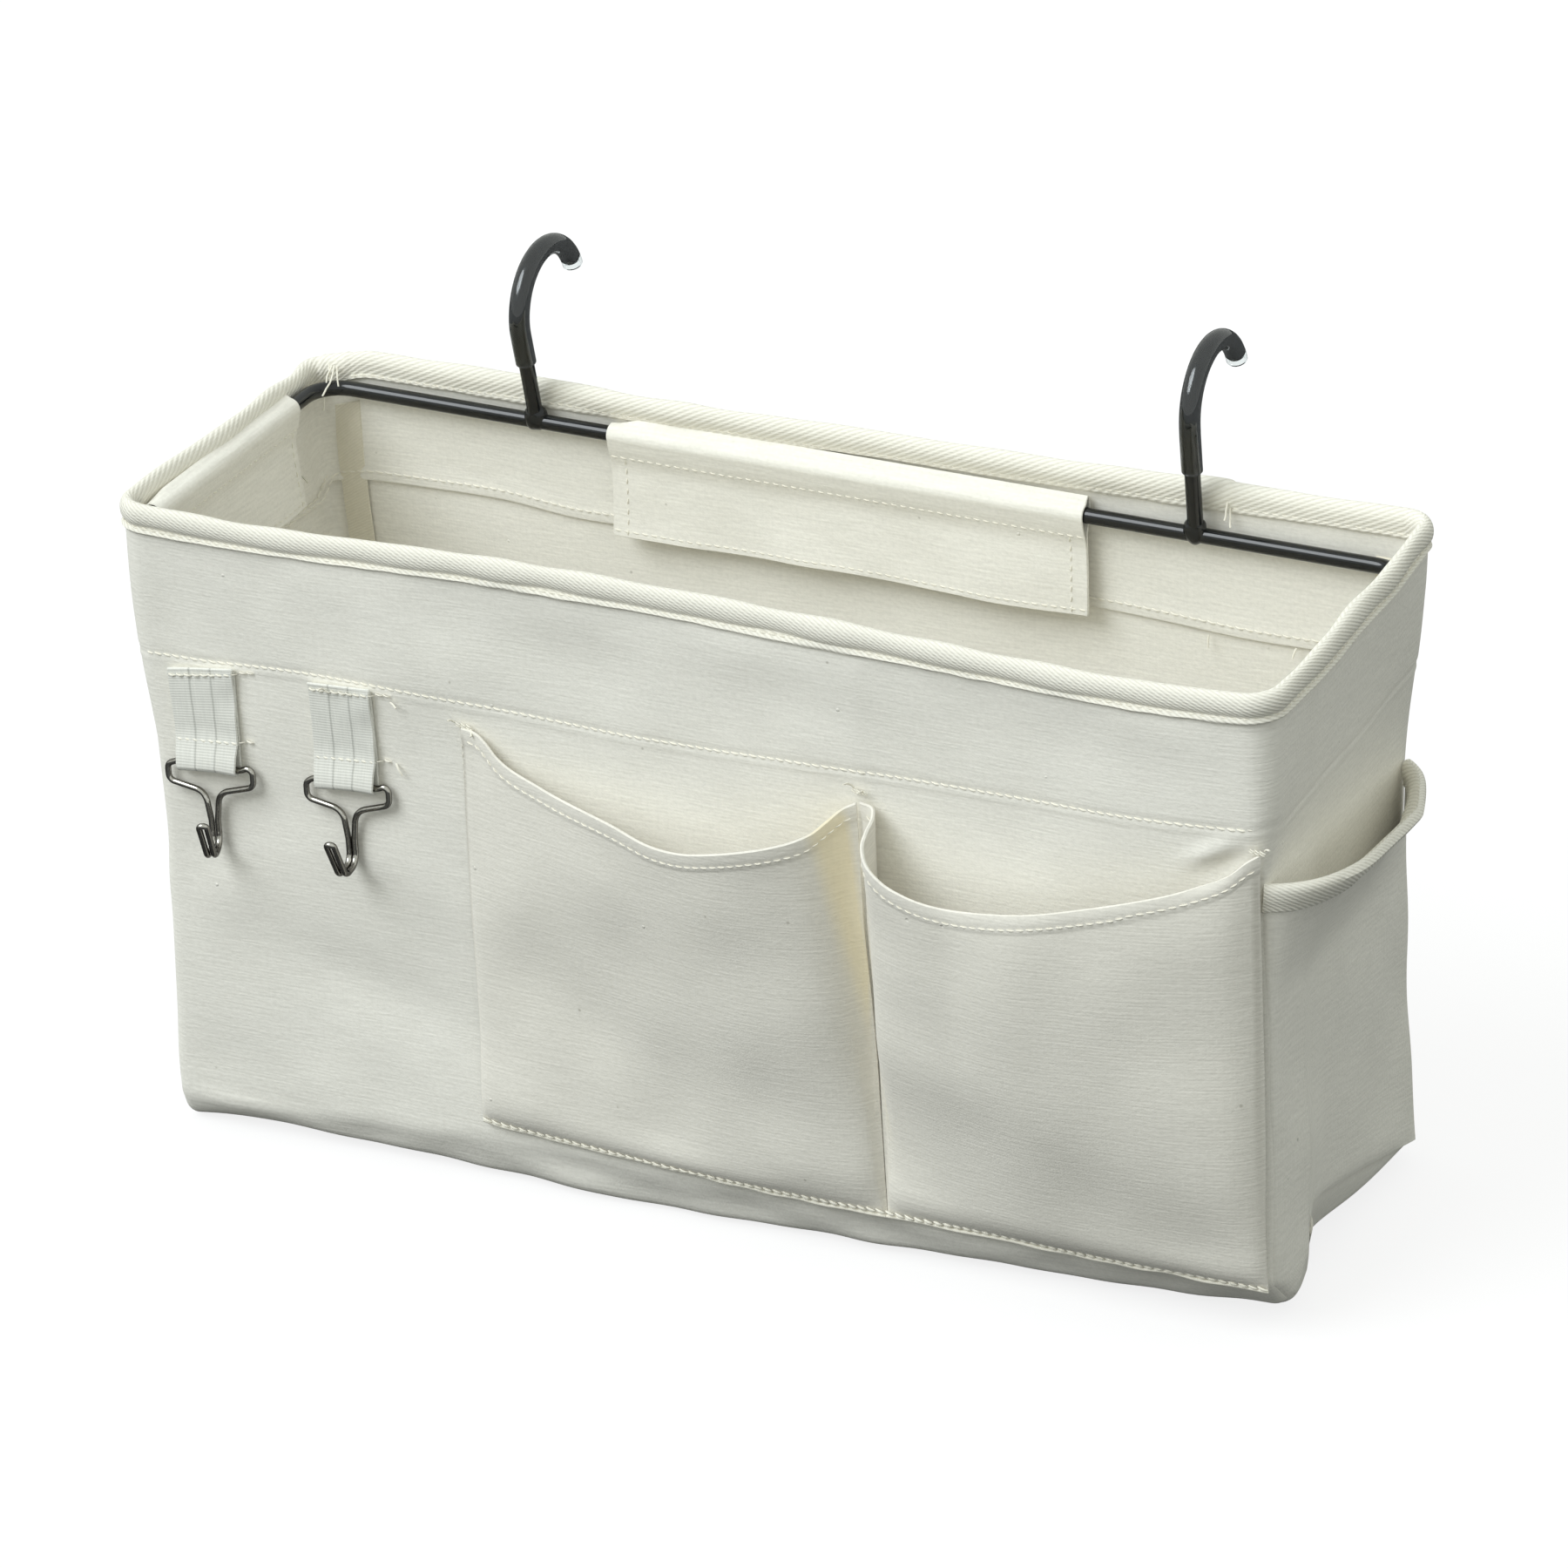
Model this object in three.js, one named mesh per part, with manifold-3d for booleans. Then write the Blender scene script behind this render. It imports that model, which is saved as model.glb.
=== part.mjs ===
// A canvas storage bag that hangs from a rail by two steel hooks.
// Millimetres. +X is to the right as seen from the pocket side, +Y towards the rail, +Z up.
// The origin is the middle of the underside of the base.

import * as THREE from "three";
import { mergeVertices } from "three/addons/utils/BufferGeometryUtils.js";
import Module from "manifold-3d";

const wasm = await Module();
wasm.setup();

const { lerp, clamp, smoothstep, degToRad } = THREE.MathUtils;

// Body of the bag, outside the canvas
const rimLength = 384;
const waistLength = 372;
const bagDepth = 124;
const bagHeight = 212;
const waistHeight = 130;
const rimCornerRadius = 9;
const baseCornerRadius = 5;
const bottomFold = 4.5;

// Cloth
const canvasThickness = 1.0;
const facingThickness = 0.8;
const facingWidth = 47;
const tapeThickness = 0.9;
const rimTapeHeight = 9;
const cornerTapeWidth = 9;
const seamGap = 0.3;

// Steel frame inside the rim, and the sleeves that hold the bag to it
const rodDiameter = 5;
const frameDrop = 13;
const frameBendRadius = 16;
const sleeveCloth = 0.7;
const sleeveClearance = 0.35;
const sleeveDrop = 34;
const longSleeveWidth = 163;
const shortSleeveWidth = 78;

// Hanging hooks, welded to the rear rail
const hookSpacing = 226;
const hookOffset = 5;
const hookLean = 10.8;
const hookRise = 34.5;
const hookRadius = 19;
const hookSweep = 168;
const weldWidth = 7.4;
const weldHeight = 4.6;
const tubeThickness = 0.7;
const tubeStart = 23;
const tubeOverhang = 1.2;

// Front pockets: the hook zone is what they leave free on the left
const hookZoneWidth = 107;
const rightPocketWidth = 122;
const pocketDrop = 59;
const pocketFoot = 12;
const pocketBulge = 22;
const pocketDip = 16;
const hemWidth = 6;
const hemExtra = 0.8;

// Side pocket on the right
const sidePocketFrontDrop = 66;
const sidePocketRearDrop = 80;
const sidePocketFoot = 12;
const sidePocketBulge = 18;
const sidePocketFlare = 38;
const pocketTapeHeight = 8;

// Webbing loops and the wire hooks that swing in them
const strapWidth = 22;
const strapCloth = 1.0;
const strapDrop = 54;
const strapLength = 32;
const strapSewn = 24;
const strapMargin = 6;
const strapPitch = 49;
const strapStep = 2.4;
const wireDiameter = 2.0;
const wireClearance = 0.35;
const wireHookWidth = 32;
const wireShoulder = 7;
const wireNeck = 10;
const wireHookDrop = 29.5;
const wireHookReach = 16.4;
const wireTipHeight = 14;
const wireBend = 3;
const wirePairGap = 0.35;
const wireTipSpread = 1.1;

// Sizes that follow from those
const halfDepth = bagDepth / 2;
const rodRadius = rodDiameter / 2;
const wireRadius = wireDiameter / 2;
const clothTop = bagHeight - 2;
const rimFoot = bagHeight - rimTapeHeight;
const facingFoot = bagHeight - facingWidth;
const facingDepth = canvasThickness + seamGap;
const innerFace = facingDepth + facingThickness;
const frameHeight = bagHeight - frameDrop;
const frameInset = innerFace + seamGap + sleeveCloth + sleeveClearance + rodRadius;

// How far the walls have opened from the waist towards the rim at a height, 0 to 1
function flareAt(z) {
  return clamp((z - waistHeight) / (rimFoot - seamGap - waistHeight), 0, 1);
}

// Half the bag's length at a height: the frame spreads the side walls towards the rim.
function halfLength(z) {
  return lerp(waistLength, rimLength, flareAt(z)) / 2;
}

// The corners are sharp seams low down, and rounder where the frame fills them.
function cornerRadius(z) {
  return lerp(baseCornerRadius, rimCornerRadius, flareAt(z));
}

// Half the flat stretch of the front wall at a height
function frontFlat(z) {
  return halfLength(z) - cornerRadius(z);
}

// A geometry with shared vertices, closed and facing out.
function closedSolid(geometry) {
  geometry.deleteAttribute("normal");
  geometry.deleteAttribute("uv");
  const solid = mergeVertices(geometry, 1e-4);
  const position = solid.attributes.position;
  const index = solid.index.array;
  const corners = [new THREE.Vector3(), new THREE.Vector3(), new THREE.Vector3()];
  let volume = 0;
  for (let i = 0; i < index.length; i += 3) {
    corners.forEach((corner, k) => corner.fromBufferAttribute(position, index[i + k]));
    volume += corners[0].dot(corners[1].clone().cross(corners[2])) / 6;
  }
  if (volume < 0) {
    for (let i = 0; i < index.length; i += 3) {
      [index[i + 1], index[i + 2]] = [index[i + 2], index[i + 1]];
    }
  }
  solid.computeVertexNormals();
  return solid;
}

// A box of columns by rows, one step thick, bent to place(column, row, face): face 0 outside, 1 inside.
function bentBox(columns, rows, place) {
  const box = new THREE.BoxGeometry(1, 1, 1, columns, rows, 1);
  const position = box.attributes.position;
  for (let i = 0; i < position.count; i += 1) {
    const column = Math.round((position.getX(i) + 0.5) * columns);
    const row = Math.round((position.getY(i) + 0.5) * rows);
    const face = Math.round(position.getZ(i) + 0.5);
    const point = place(column, row, face);
    position.setXYZ(i, point.x, point.y, point.z);
  }
  return closedSolid(box);
}

// A flat section extruded in steps, then bent to place(section x, section y, step).
function bentExtrusion(shape, steps, place) {
  const bar = new THREE.ExtrudeGeometry(shape, { depth: 1, steps, bevelEnabled: false, curveSegments: 5 });
  const position = bar.attributes.position;
  for (let i = 0; i < position.count; i += 1) {
    const step = Math.round(position.getZ(i) * steps);
    const point = place(position.getX(i), position.getY(i), step);
    position.setXYZ(i, point.x, point.y, point.z);
  }
  return closedSolid(bar);
}

// A closed ring: the section, a list of [outward, up], carried round a list of stations.
function closedRing(stations, section, height) {
  const torus = new THREE.TorusGeometry(1, 0.5, section.length, stations.length);
  const position = torus.attributes.position;
  const uv = torus.attributes.uv;
  for (let i = 0; i < position.count; i += 1) {
    const station = stations[Math.round(uv.getX(i) * stations.length) % stations.length];
    const [outward, up] = section[Math.round(uv.getY(i) * section.length) % section.length];
    const x = station.point.x + station.normal.x * outward;
    const y = station.point.y + station.normal.y * outward;
    position.setXYZ(i, x, y, height + up);
  }
  return closedSolid(torus);
}

// Points and outward normals round a rectangle with round corners.
function roundedLoop(halfX, halfY, radius, cornerSteps) {
  const stations = [];
  for (let quarter = 0; quarter < 4; quarter += 1) {
    const centre = new THREE.Vector2(halfX - radius, halfY - radius);
    centre.x *= quarter === 0 || quarter === 3 ? 1 : -1;
    centre.y *= quarter < 2 ? 1 : -1;
    for (let step = 0; step <= cornerSteps; step += 1) {
      const angle = (Math.PI / 2) * (quarter + step / cornerSteps);
      const normal = new THREE.Vector2(Math.cos(angle), Math.sin(angle));
      stations.push({ normal, point: centre.clone().addScaledVector(normal, radius) });
    }
  }
  return stations;
}

// A round section, as a shape with an optional bore
function roundShape(radius, bore = 0) {
  const shape = new THREE.Shape().absarc(0, 0, radius, 0, 2 * Math.PI, false);
  if (bore > 0) {
    shape.holes.push(new THREE.Path().absarc(0, 0, bore, 0, 2 * Math.PI, true));
  }
  return shape;
}

// A rod or tube along a curve
function sweptRod(shape, path, steps, sides) {
  const settings = { steps, extrudePath: path, curveSegments: sides, bevelEnabled: false };
  return closedSolid(new THREE.ExtrudeGeometry(shape, settings));
}

function toManifold(geometry) {
  const solid = closedSolid(geometry);
  const vertProperties = new Float32Array(solid.attributes.position.array);
  const triVerts = new Uint32Array(solid.index.array);
  return new wasm.Manifold(new wasm.Mesh({ numProp: 3, vertProperties, triVerts }));
}

function fromManifold(solid) {
  const mesh = solid.getMesh();
  const geometry = new THREE.BufferGeometry();
  geometry.setAttribute("position", new THREE.BufferAttribute(new Float32Array(mesh.vertProperties), 3));
  geometry.setIndex(new THREE.BufferAttribute(new Uint32Array(mesh.triVerts), 1));
  return closedSolid(geometry);
}

// Materials
const canvasLook = new THREE.MeshStandardMaterial({ color: 0xd6d9d3, roughness: 0.95, metalness: 0 });
const facingLook = new THREE.MeshStandardMaterial({ color: 0xcfd1c7, roughness: 0.95, metalness: 0 });
const twillLook = new THREE.MeshStandardMaterial({ color: 0xe8e8dc, roughness: 0.9, metalness: 0 });
const webbingLook = new THREE.MeshStandardMaterial({ color: 0xdde2dd, roughness: 0.85, metalness: 0 });
const steelLook = new THREE.MeshStandardMaterial({ color: 0x1c1f22, roughness: 0.3, metalness: 0.2 });
const nickelLook = new THREE.MeshStandardMaterial({ color: 0xb9b4aa, roughness: 0.2, metalness: 1 });
const clearTubeLook = new THREE.MeshStandardMaterial({
  color: 0xe6eef0,
  roughness: 0.1,
  metalness: 0,
  transparent: true,
  opacity: 0.35,
});

const bag = new THREE.Group();

function addPiece(name, geometry, material, parent = bag) {
  const mesh = new THREE.Mesh(geometry, material);
  mesh.name = name;
  parent.add(mesh);
  return mesh;
}

// The four walls are drawn as a front wall: X runs along it and -Y points out.
// A group turned by quarter turns puts each in its place.
const frontWall = { name: "front", turn: 0, run: halfLength, out: () => halfDepth };
const rightWall = { name: "right", turn: 1, run: () => halfDepth, out: halfLength };
const rearWall = { name: "rear", turn: 2, run: halfLength, out: () => halfDepth };
const leftWall = { name: "left", turn: 3, run: () => halfDepth, out: halfLength };
const walls = [frontWall, rightWall, rearWall, leftWall];

for (const wall of walls) {
  wall.group = new THREE.Group();
  wall.group.rotation.z = (wall.turn * Math.PI) / 2;
  bag.add(wall.group);
}

const cornerSteps = 3;
const flatSteps = 4;
const wallColumns = 2 * cornerSteps + flatSteps;

// A wall ends in the middle of each corner, where the seam is.
function wallPoint(wall, column, z, inset) {
  const radius = cornerRadius(z) - inset;
  const run = wall.run(z) - cornerRadius(z);
  const out = wall.out(z) - cornerRadius(z);
  const halfColumn = wallColumns / 2;
  const side = Math.sign(column - halfColumn);
  const fromMiddle = Math.abs(column - halfColumn);
  const intoCorner = Math.max(0, fromMiddle - flatSteps / 2) / cornerSteps;
  const angle = intoCorner * (Math.PI / 4 - seamGap / 2 / radius);
  const along = run * Math.min(1, fromMiddle / (flatSteps / 2)) + radius * Math.sin(angle);
  return new THREE.Vector3(side * along, -(out + radius * Math.cos(angle)), z);
}

// Rows of a wall: a quarter turn out from under the base, up to the waist, out to the rim and straight up.
const foldSteps = 3;
const panelRows = [waistHeight, lerp(waistHeight, rimFoot, 0.5), rimFoot - seamGap, clothTop];
const facingRows = [facingFoot, lerp(facingFoot, rimFoot, 0.5), rimFoot - seamGap, clothTop];

function panelRow(row, depth) {
  if (row > foldSteps) {
    return { inset: depth, z: panelRows[row - foldSteps - 1] };
  }
  const angle = (Math.PI / 2) * (1 - row / foldSteps);
  const radius = bottomFold - depth;
  return { inset: bottomFold - radius * Math.cos(angle), z: bottomFold - radius * Math.sin(angle) };
}

for (const wall of walls) {
  const panel = bentBox(wallColumns, foldSteps + panelRows.length, (column, row, face) => {
    const { inset, z } = panelRow(row, face * canvasThickness);
    return wallPoint(wall, column, z, inset);
  });
  const name = wall.turn % 2 ? `${wall.name}_side_panel` : `${wall.name}_panel`;
  addPiece(name, panel, canvasLook, wall.group);

  const facing = bentBox(wallColumns, facingRows.length - 1, (column, row, face) => {
    return wallPoint(wall, column, facingRows[row], facingDepth + face * facingThickness);
  });
  addPiece(`${wall.name}_facing`, facing, facingLook, wall.group);
}

// Base: a flat sheet between the turned-in feet of the walls
{
  const halfX = halfLength(0) - bottomFold - seamGap;
  const halfY = halfDepth - bottomFold - seamGap;
  const sheet = new THREE.BoxGeometry(2 * halfX, 2 * halfY, canvasThickness, 8, 4, 1);
  addPiece("base_panel", closedSolid(sheet), canvasLook).position.z = canvasThickness / 2;
}

// Seam tape: bound over the seam in each inside corner, turned onto the front or rear wall
function addCornerTape(wall, side, name) {
  const tapeSteps = 4;
  const tapeRows = 6;
  const foot = bottomFold + canvasThickness;
  const top = frameHeight - rodRadius - tapeThickness;
  const tape = bentBox(tapeSteps, tapeRows, (column, row, face) => {
    const z = lerp(foot, top, row / tapeRows);
    const inset = innerFace + seamGap + face * facingThickness;
    const radius = cornerRadius(z) - inset;
    const fromSeam = seamGap + (cornerTapeWidth * column) / tapeSteps;
    const angle = Math.max(0, Math.PI / 4 - fromSeam / radius);
    const pastCorner = Math.max(0, fromSeam - (radius * Math.PI) / 4);
    const along = wall.run(z) - cornerRadius(z) + radius * Math.sin(angle) - pastCorner;
    const out = wall.out(z) - cornerRadius(z) + radius * Math.cos(angle);
    return new THREE.Vector3(side * along, -out, z);
  });
  addPiece(name, tape, twillLook, wall.group);
}
addCornerTape(frontWall, -1, "front_left_seam_tape");
addCornerTape(frontWall, 1, "front_right_seam_tape");
addCornerTape(rearWall, 1, "rear_left_seam_tape");
addCornerTape(rearWall, -1, "rear_right_seam_tape");

// A tape folded over an edge: outer leg, round top and inner leg, as [outward, up] from the edge's foot.
// The edge it wraps lies between outward 0 and -wrapped.
function foldedTape(wrapped, height, arcSteps) {
  const middle = -wrapped / 2;
  const inner = wrapped / 2 + seamGap;
  const outer = inner + tapeThickness;
  const section = [[middle + outer, 0]];
  for (let step = 0; step <= arcSteps; step += 1) {
    const angle = (Math.PI * step) / arcSteps;
    section.push([middle + outer * Math.cos(angle), height - outer + outer * Math.sin(angle)]);
  }
  section.push([middle - outer, 0], [middle - inner, 0]);
  for (let step = arcSteps; step >= 0; step -= 1) {
    const angle = (Math.PI * step) / arcSteps;
    section.push([middle + inner * Math.cos(angle), height - outer + inner * Math.sin(angle)]);
  }
  section.push([middle + inner, 0]);
  return section;
}

// Rim binding, folded over the wall and the facing together
{
  const loop = roundedLoop(halfLength(bagHeight), halfDepth, cornerRadius(bagHeight), 6);
  addPiece("rim_binding", closedRing(loop, foldedTape(innerFace, rimTapeHeight, 6), rimFoot), twillLook);
}

// Steel frame: one rod bent to the shape of the rim and welded shut
const frameHalfLength = halfLength(frameHeight) - frameInset;
const frameHalfDepth = halfDepth - frameInset;
{
  const section = roundShape(rodRadius).getPoints(6).slice(0, -1).map((p) => [p.x, p.y]);
  const loop = roundedLoop(frameHalfLength, frameHalfDepth, frameBendRadius, 6);
  addPiece("frame_ring", closedRing(loop, section, frameHeight), steelLook);
}

// Frame sleeve: cloth that leaves the rim under the binding, goes round the rod and hangs down.
// The section is drawn with its bore on the rod's axis, X outwards and Y up.
function sleeveShape() {
  const bore = rodRadius + sleeveClearance;
  const skin = bore + sleeveCloth;
  const tabTop = frameDrop - rimTapeHeight - seamGap;
  const flap = sleeveCloth;
  const flapAngle = Math.asin(flap / skin);
  const shape = new THREE.Shape();
  shape.moveTo(skin, tabTop);
  shape.lineTo(bore, tabTop);
  shape.absarc(0, 0, skin, Math.acos(bore / skin), 1.5 * Math.PI - flapAngle, false);
  shape.lineTo(-flap, -sleeveDrop);
  shape.lineTo(flap, -sleeveDrop);
  shape.absarc(0, 0, skin, 1.5 * Math.PI + flapAngle, 2 * Math.PI, false);
  shape.holes.push(new THREE.Path().absarc(0, 0, bore, 0, 2 * Math.PI, true));
  return shape;
}

for (const wall of walls) {
  const width = wall.turn % 2 ? shortSleeveWidth : longSleeveWidth;
  const railDistance = wall.turn % 2 ? frameHalfLength : frameHalfDepth;
  const sleeve = bentExtrusion(sleeveShape(), 2, (outward, up, step) => {
    return new THREE.Vector3(lerp(-width / 2, width / 2, step / 2), -(railDistance + outward), frameHeight + up);
  });
  addPiece(`${wall.name}_frame_sleeve`, sleeve, canvasLook, wall.group);
}

// Centre line of a hanging hook, from the rail's axis: straight up and leaning in, then over and down
// outside the bag. Only the stretch from start to end, in millimetres along it, is drawn.
class HookLine extends THREE.Curve {
  constructor(start, end) {
    super();
    this.start = start;
    this.end = end;
  }

  getPoint(t, target = new THREE.Vector3()) {
    const travelled = lerp(this.start, this.end, t);
    const lean = degToRad(hookLean);
    const straight = Math.min(travelled, hookRise);
    const turned = Math.max(0, travelled - hookRise) / hookRadius;
    const y = -straight * Math.sin(lean) + hookRadius * (Math.cos(lean) - Math.cos(lean - turned));
    const z = straight * Math.cos(lean) + hookRadius * (Math.sin(lean) - Math.sin(lean - turned));
    return target.set(0, y, z);
  }
}

const hookLength = hookRise + hookRadius * degToRad(hookSweep);

// Hanging hook with the weld at its foot, notched to sit on the rail
function hangerSolid() {
  const rod = sweptRod(roundShape(rodRadius), new HookLine(0, hookLength), 26, 6);
  const weldProfile = [
    new THREE.Vector2(0, -rodRadius / 2),
    new THREE.Vector2(weldWidth / 2, -rodRadius / 2),
    new THREE.Vector2(weldWidth / 2, rodRadius / 2),
    new THREE.Vector2((weldWidth + rodDiameter) / 4, (rodRadius + weldHeight) / 2),
    new THREE.Vector2(rodRadius - 0.1, weldHeight),
    new THREE.Vector2(0, weldHeight),
  ];
  const weld = new THREE.LatheGeometry(weldProfile, 14);
  weld.rotateX(Math.PI / 2 + degToRad(hookLean));
  const rail = new THREE.CylinderGeometry(rodRadius + seamGap, rodRadius + seamGap, 3 * weldWidth, 24);
  rail.rotateZ(Math.PI / 2);
  const below = new THREE.BoxGeometry(3 * weldWidth, 3 * weldWidth, 3 * weldWidth);
  below.translate(0, 0, -1.5 * weldWidth);
  return fromManifold(toManifold(rod).add(toManifold(weld)).subtract(toManifold(rail)).subtract(toManifold(below)));
}

// Clear tube pushed over the hook, a little past its tip
function hangerTube() {
  const bore = rodRadius + seamGap;
  const line = new HookLine(tubeStart, hookLength + tubeOverhang);
  return sweptRod(roundShape(bore + tubeThickness, bore), line, 18, 6);
}

for (const [side, name] of [[-1, "left"], [1, "right"]]) {
  const place = new THREE.Vector3(hookOffset + (side * hookSpacing) / 2, frameHalfDepth, frameHeight);
  addPiece(`${name}_hanger_hook`, hangerSolid(), steelLook).position.copy(place);
  addPiece(`${name}_hanger_tube`, hangerTube(), clearTubeLook).position.copy(place);
}

// A sheet from its outside points: the inside face lies one thickness in along the normal.
function sheetFrom(columns, rows, outside, thickness) {
  const inwards = (column, row) => {
    const across = outside(Math.min(column + 1, columns), row).sub(outside(Math.max(column - 1, 0), row));
    const upward = outside(column, Math.min(row + 1, rows)).sub(outside(column, Math.max(row - 1, 0)));
    return upward.cross(across).normalize();
  };
  return bentBox(columns, rows, (column, row, face) => {
    return outside(column, row).addScaledVector(inwards(column, row), face * thickness(row));
  });
}

// Plan of a pocket seen from above, as shares of its width and of its bulge.
// It leaves one seam slowly and comes back to the other in a tight fold.
function pocketPlan(columns) {
  const plan = new THREE.Path().moveTo(0, 0);
  plan.bezierCurveTo(0.25, 0.3, 0.45, 1, 0.8, 1);
  plan.bezierCurveTo(0.96, 1, 1, 0.8, 1, 0);
  return plan.getSpacedPoints(columns);
}

// Front pocket between two seams, open at the top, with a turned hem along its mouth
function frontPocket(slowSeam, foldSeam) {
  const columns = 18;
  const plan = pocketPlan(columns);
  const top = bagHeight - pocketDrop;
  const bodyRows = 6;
  const rows = bodyRows + 2;
  const thickness = (row) => canvasThickness + (row > bodyRows ? hemExtra : 0);
  const outside = (column, row) => {
    const { x: share, y: bulge } = plan[column];
    const mouth = top - pocketDip * bulge;
    const hemStart = mouth - hemWidth;
    const z = [lerp(pocketFoot, hemStart, Math.min(1, row / bodyRows)), hemStart + seamGap, mouth];
    const height = z[Math.max(0, row - bodyRows)];
    const rise = clamp((height - pocketFoot) / (mouth - pocketFoot), 0, 1);
    const out = halfDepth + seamGap + thickness(row) + pocketBulge * bulge * rise ** 0.9;
    return new THREE.Vector3(lerp(slowSeam, foldSeam, share), -out, height);
  };
  const facing = Math.sign(foldSeam - slowSeam);
  return sheetFrom(columns, rows, outside, (row) => facing * thickness(row));
}

const pocketLeft = -frontFlat(bagHeight - pocketDrop) + hookZoneWidth;
const pocketRight = frontFlat(bagHeight - pocketDrop) - seamGap;
const pocketMiddle = pocketRight - rightPocketWidth;
addPiece("front_left_pocket", frontPocket(pocketLeft, pocketMiddle - seamGap / 2), canvasLook);
addPiece("front_right_pocket", frontPocket(pocketRight, pocketMiddle + seamGap / 2), canvasLook);

// Side pocket: flat against the wall low down, flared at its mouth. Drawn on the right wall as a front wall.
const sidePocketColumns = 20;
const sidePocketPlan = new THREE.Path()
  .moveTo(0, 0)
  .bezierCurveTo(0.04, 0.55, 0.12, 1, 0.36, 1)
  .bezierCurveTo(0.66, 1, 0.88, 0.65, 1, 0)
  .getSpacedPoints(sidePocketColumns);

// Height of its mouth at a column
function sidePocketMouth(column) {
  return bagHeight - lerp(sidePocketFrontDrop, sidePocketRearDrop, sidePocketPlan[column].x);
}

// A point of it at a column and a distance down from the mouth, set off outwards across the cloth.
function sidePocketPoint(column, drop, outward) {
  const z = sidePocketMouth(column) - drop;
  const flat = halfDepth - cornerRadius(z) - seamGap;
  const flare = clamp(1 - drop / sidePocketFlare, 0, 1) ** 1.6;
  const roomForTape = (seamGap + tapeThickness) * smoothstep(-drop, -3 * pocketTapeHeight, -pocketTapeHeight);
  const onCloth = (at) => {
    const { x: share, y: bulge } = sidePocketPlan[clamp(at, 0, sidePocketColumns)];
    const out = halfLength(z) + seamGap + canvasThickness + roomForTape + sidePocketBulge * bulge * flare;
    return new THREE.Vector3(lerp(-flat, flat, share), -out, z);
  };
  const across = onCloth(column + 1).sub(onCloth(column - 1)).normalize();
  return onCloth(column).addScaledVector(new THREE.Vector3(across.y, -across.x, 0), outward);
}

// How far the binding reaches down from the mouth
const tapeReach = pocketTapeHeight - tapeThickness - 2 * seamGap;
{
  const drops = [0, tapeReach, 11, 16, 22, 29, sidePocketFlare];
  const rows = drops.length;
  const pocket = bentBox(sidePocketColumns, rows, (column, row, face) => {
    const wholeDrop = sidePocketMouth(column) - sidePocketFoot;
    return sidePocketPoint(column, row === 0 ? wholeDrop : drops[rows - row], -face * canvasThickness);
  });
  addPiece("side_pocket", pocket, canvasLook, rightWall.group);
}

// Binding folded over the mouth of the side pocket
{
  const section = foldedTape(canvasThickness, pocketTapeHeight, 4);
  const shape = new THREE.Shape(section.map(([outward, up]) => new THREE.Vector2(outward, up)));
  const binding = bentExtrusion(shape, sidePocketColumns, (outward, up, step) => {
    const point = sidePocketPoint(step, Math.max(0, tapeReach - up), outward);
    point.z += Math.max(0, up - tapeReach);
    return point;
  });
  addPiece("side_pocket_binding", binding, twillLook, rightWall.group);
}

// Webbing loop: two layers sewn flat to the front, then open round the bar of the wire hook.
// Drawn with the bar on the origin, X out of the bag and Y up.
const barHeight = bagHeight - strapDrop - strapLength;
const loopBore = wireRadius + wireClearance;
const loopSkin = loopBore + strapCloth;
const barStandOff = seamGap + loopSkin;

function strapShape() {
  const back = -(barStandOff - seamGap);
  const front = back + 2 * strapCloth;
  const sewnFoot = strapLength - strapSewn;
  const middle = (back + front) / 2;
  const shape = new THREE.Shape();
  shape.moveTo(back, strapLength);
  shape.lineTo(back, 0);
  shape.absarc(0, 0, loopSkin, Math.PI, 2 * Math.PI, false);
  shape.bezierCurveTo(loopSkin, sewnFoot / 2, front, sewnFoot / 2, front, sewnFoot);
  shape.lineTo(front, strapLength);
  const eye = new THREE.Path();
  eye.moveTo(loopBore, 0);
  eye.bezierCurveTo(loopBore, sewnFoot / 2, middle, sewnFoot / 3, middle, sewnFoot - strapCloth);
  eye.bezierCurveTo(middle, sewnFoot / 2, -loopBore, sewnFoot / 2, -loopBore, 0);
  eye.absarc(0, 0, loopBore, Math.PI, 2 * Math.PI, false);
  shape.holes.push(eye);
  return shape;
}

// A wire bent round a list of corners, each [x, y, z, bend radius], with true arcs between straight runs
function bentWire(corners) {
  const points = corners.map(([x, y, z]) => new THREE.Vector3(x, y, z));
  const path = new THREE.CurvePath();
  let from = points[0];
  for (let i = 1; i < points.length - 1; i += 1) {
    const radius = corners[i][3];
    const before = points[i - 1].clone().sub(points[i]).normalize();
    const after = points[i + 1].clone().sub(points[i]).normalize();
    const turn = Math.PI - before.angleTo(after);
    const setBack = radius * Math.tan(turn / 2);
    const handle = setBack - (4 / 3) * Math.tan(turn / 4) * radius;
    const arcStart = points[i].clone().addScaledVector(before, setBack);
    const arcEnd = points[i].clone().addScaledVector(after, setBack);
    const startHandle = points[i].clone().addScaledVector(before, handle);
    const endHandle = points[i].clone().addScaledVector(after, handle);
    path.add(new THREE.LineCurve3(from, arcStart));
    path.add(new THREE.CubicBezierCurve3(arcStart, startHandle, endHandle, arcEnd));
    from = arcEnd;
  }
  path.add(new THREE.LineCurve3(from, points[points.length - 1]));
  return path;
}

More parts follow.
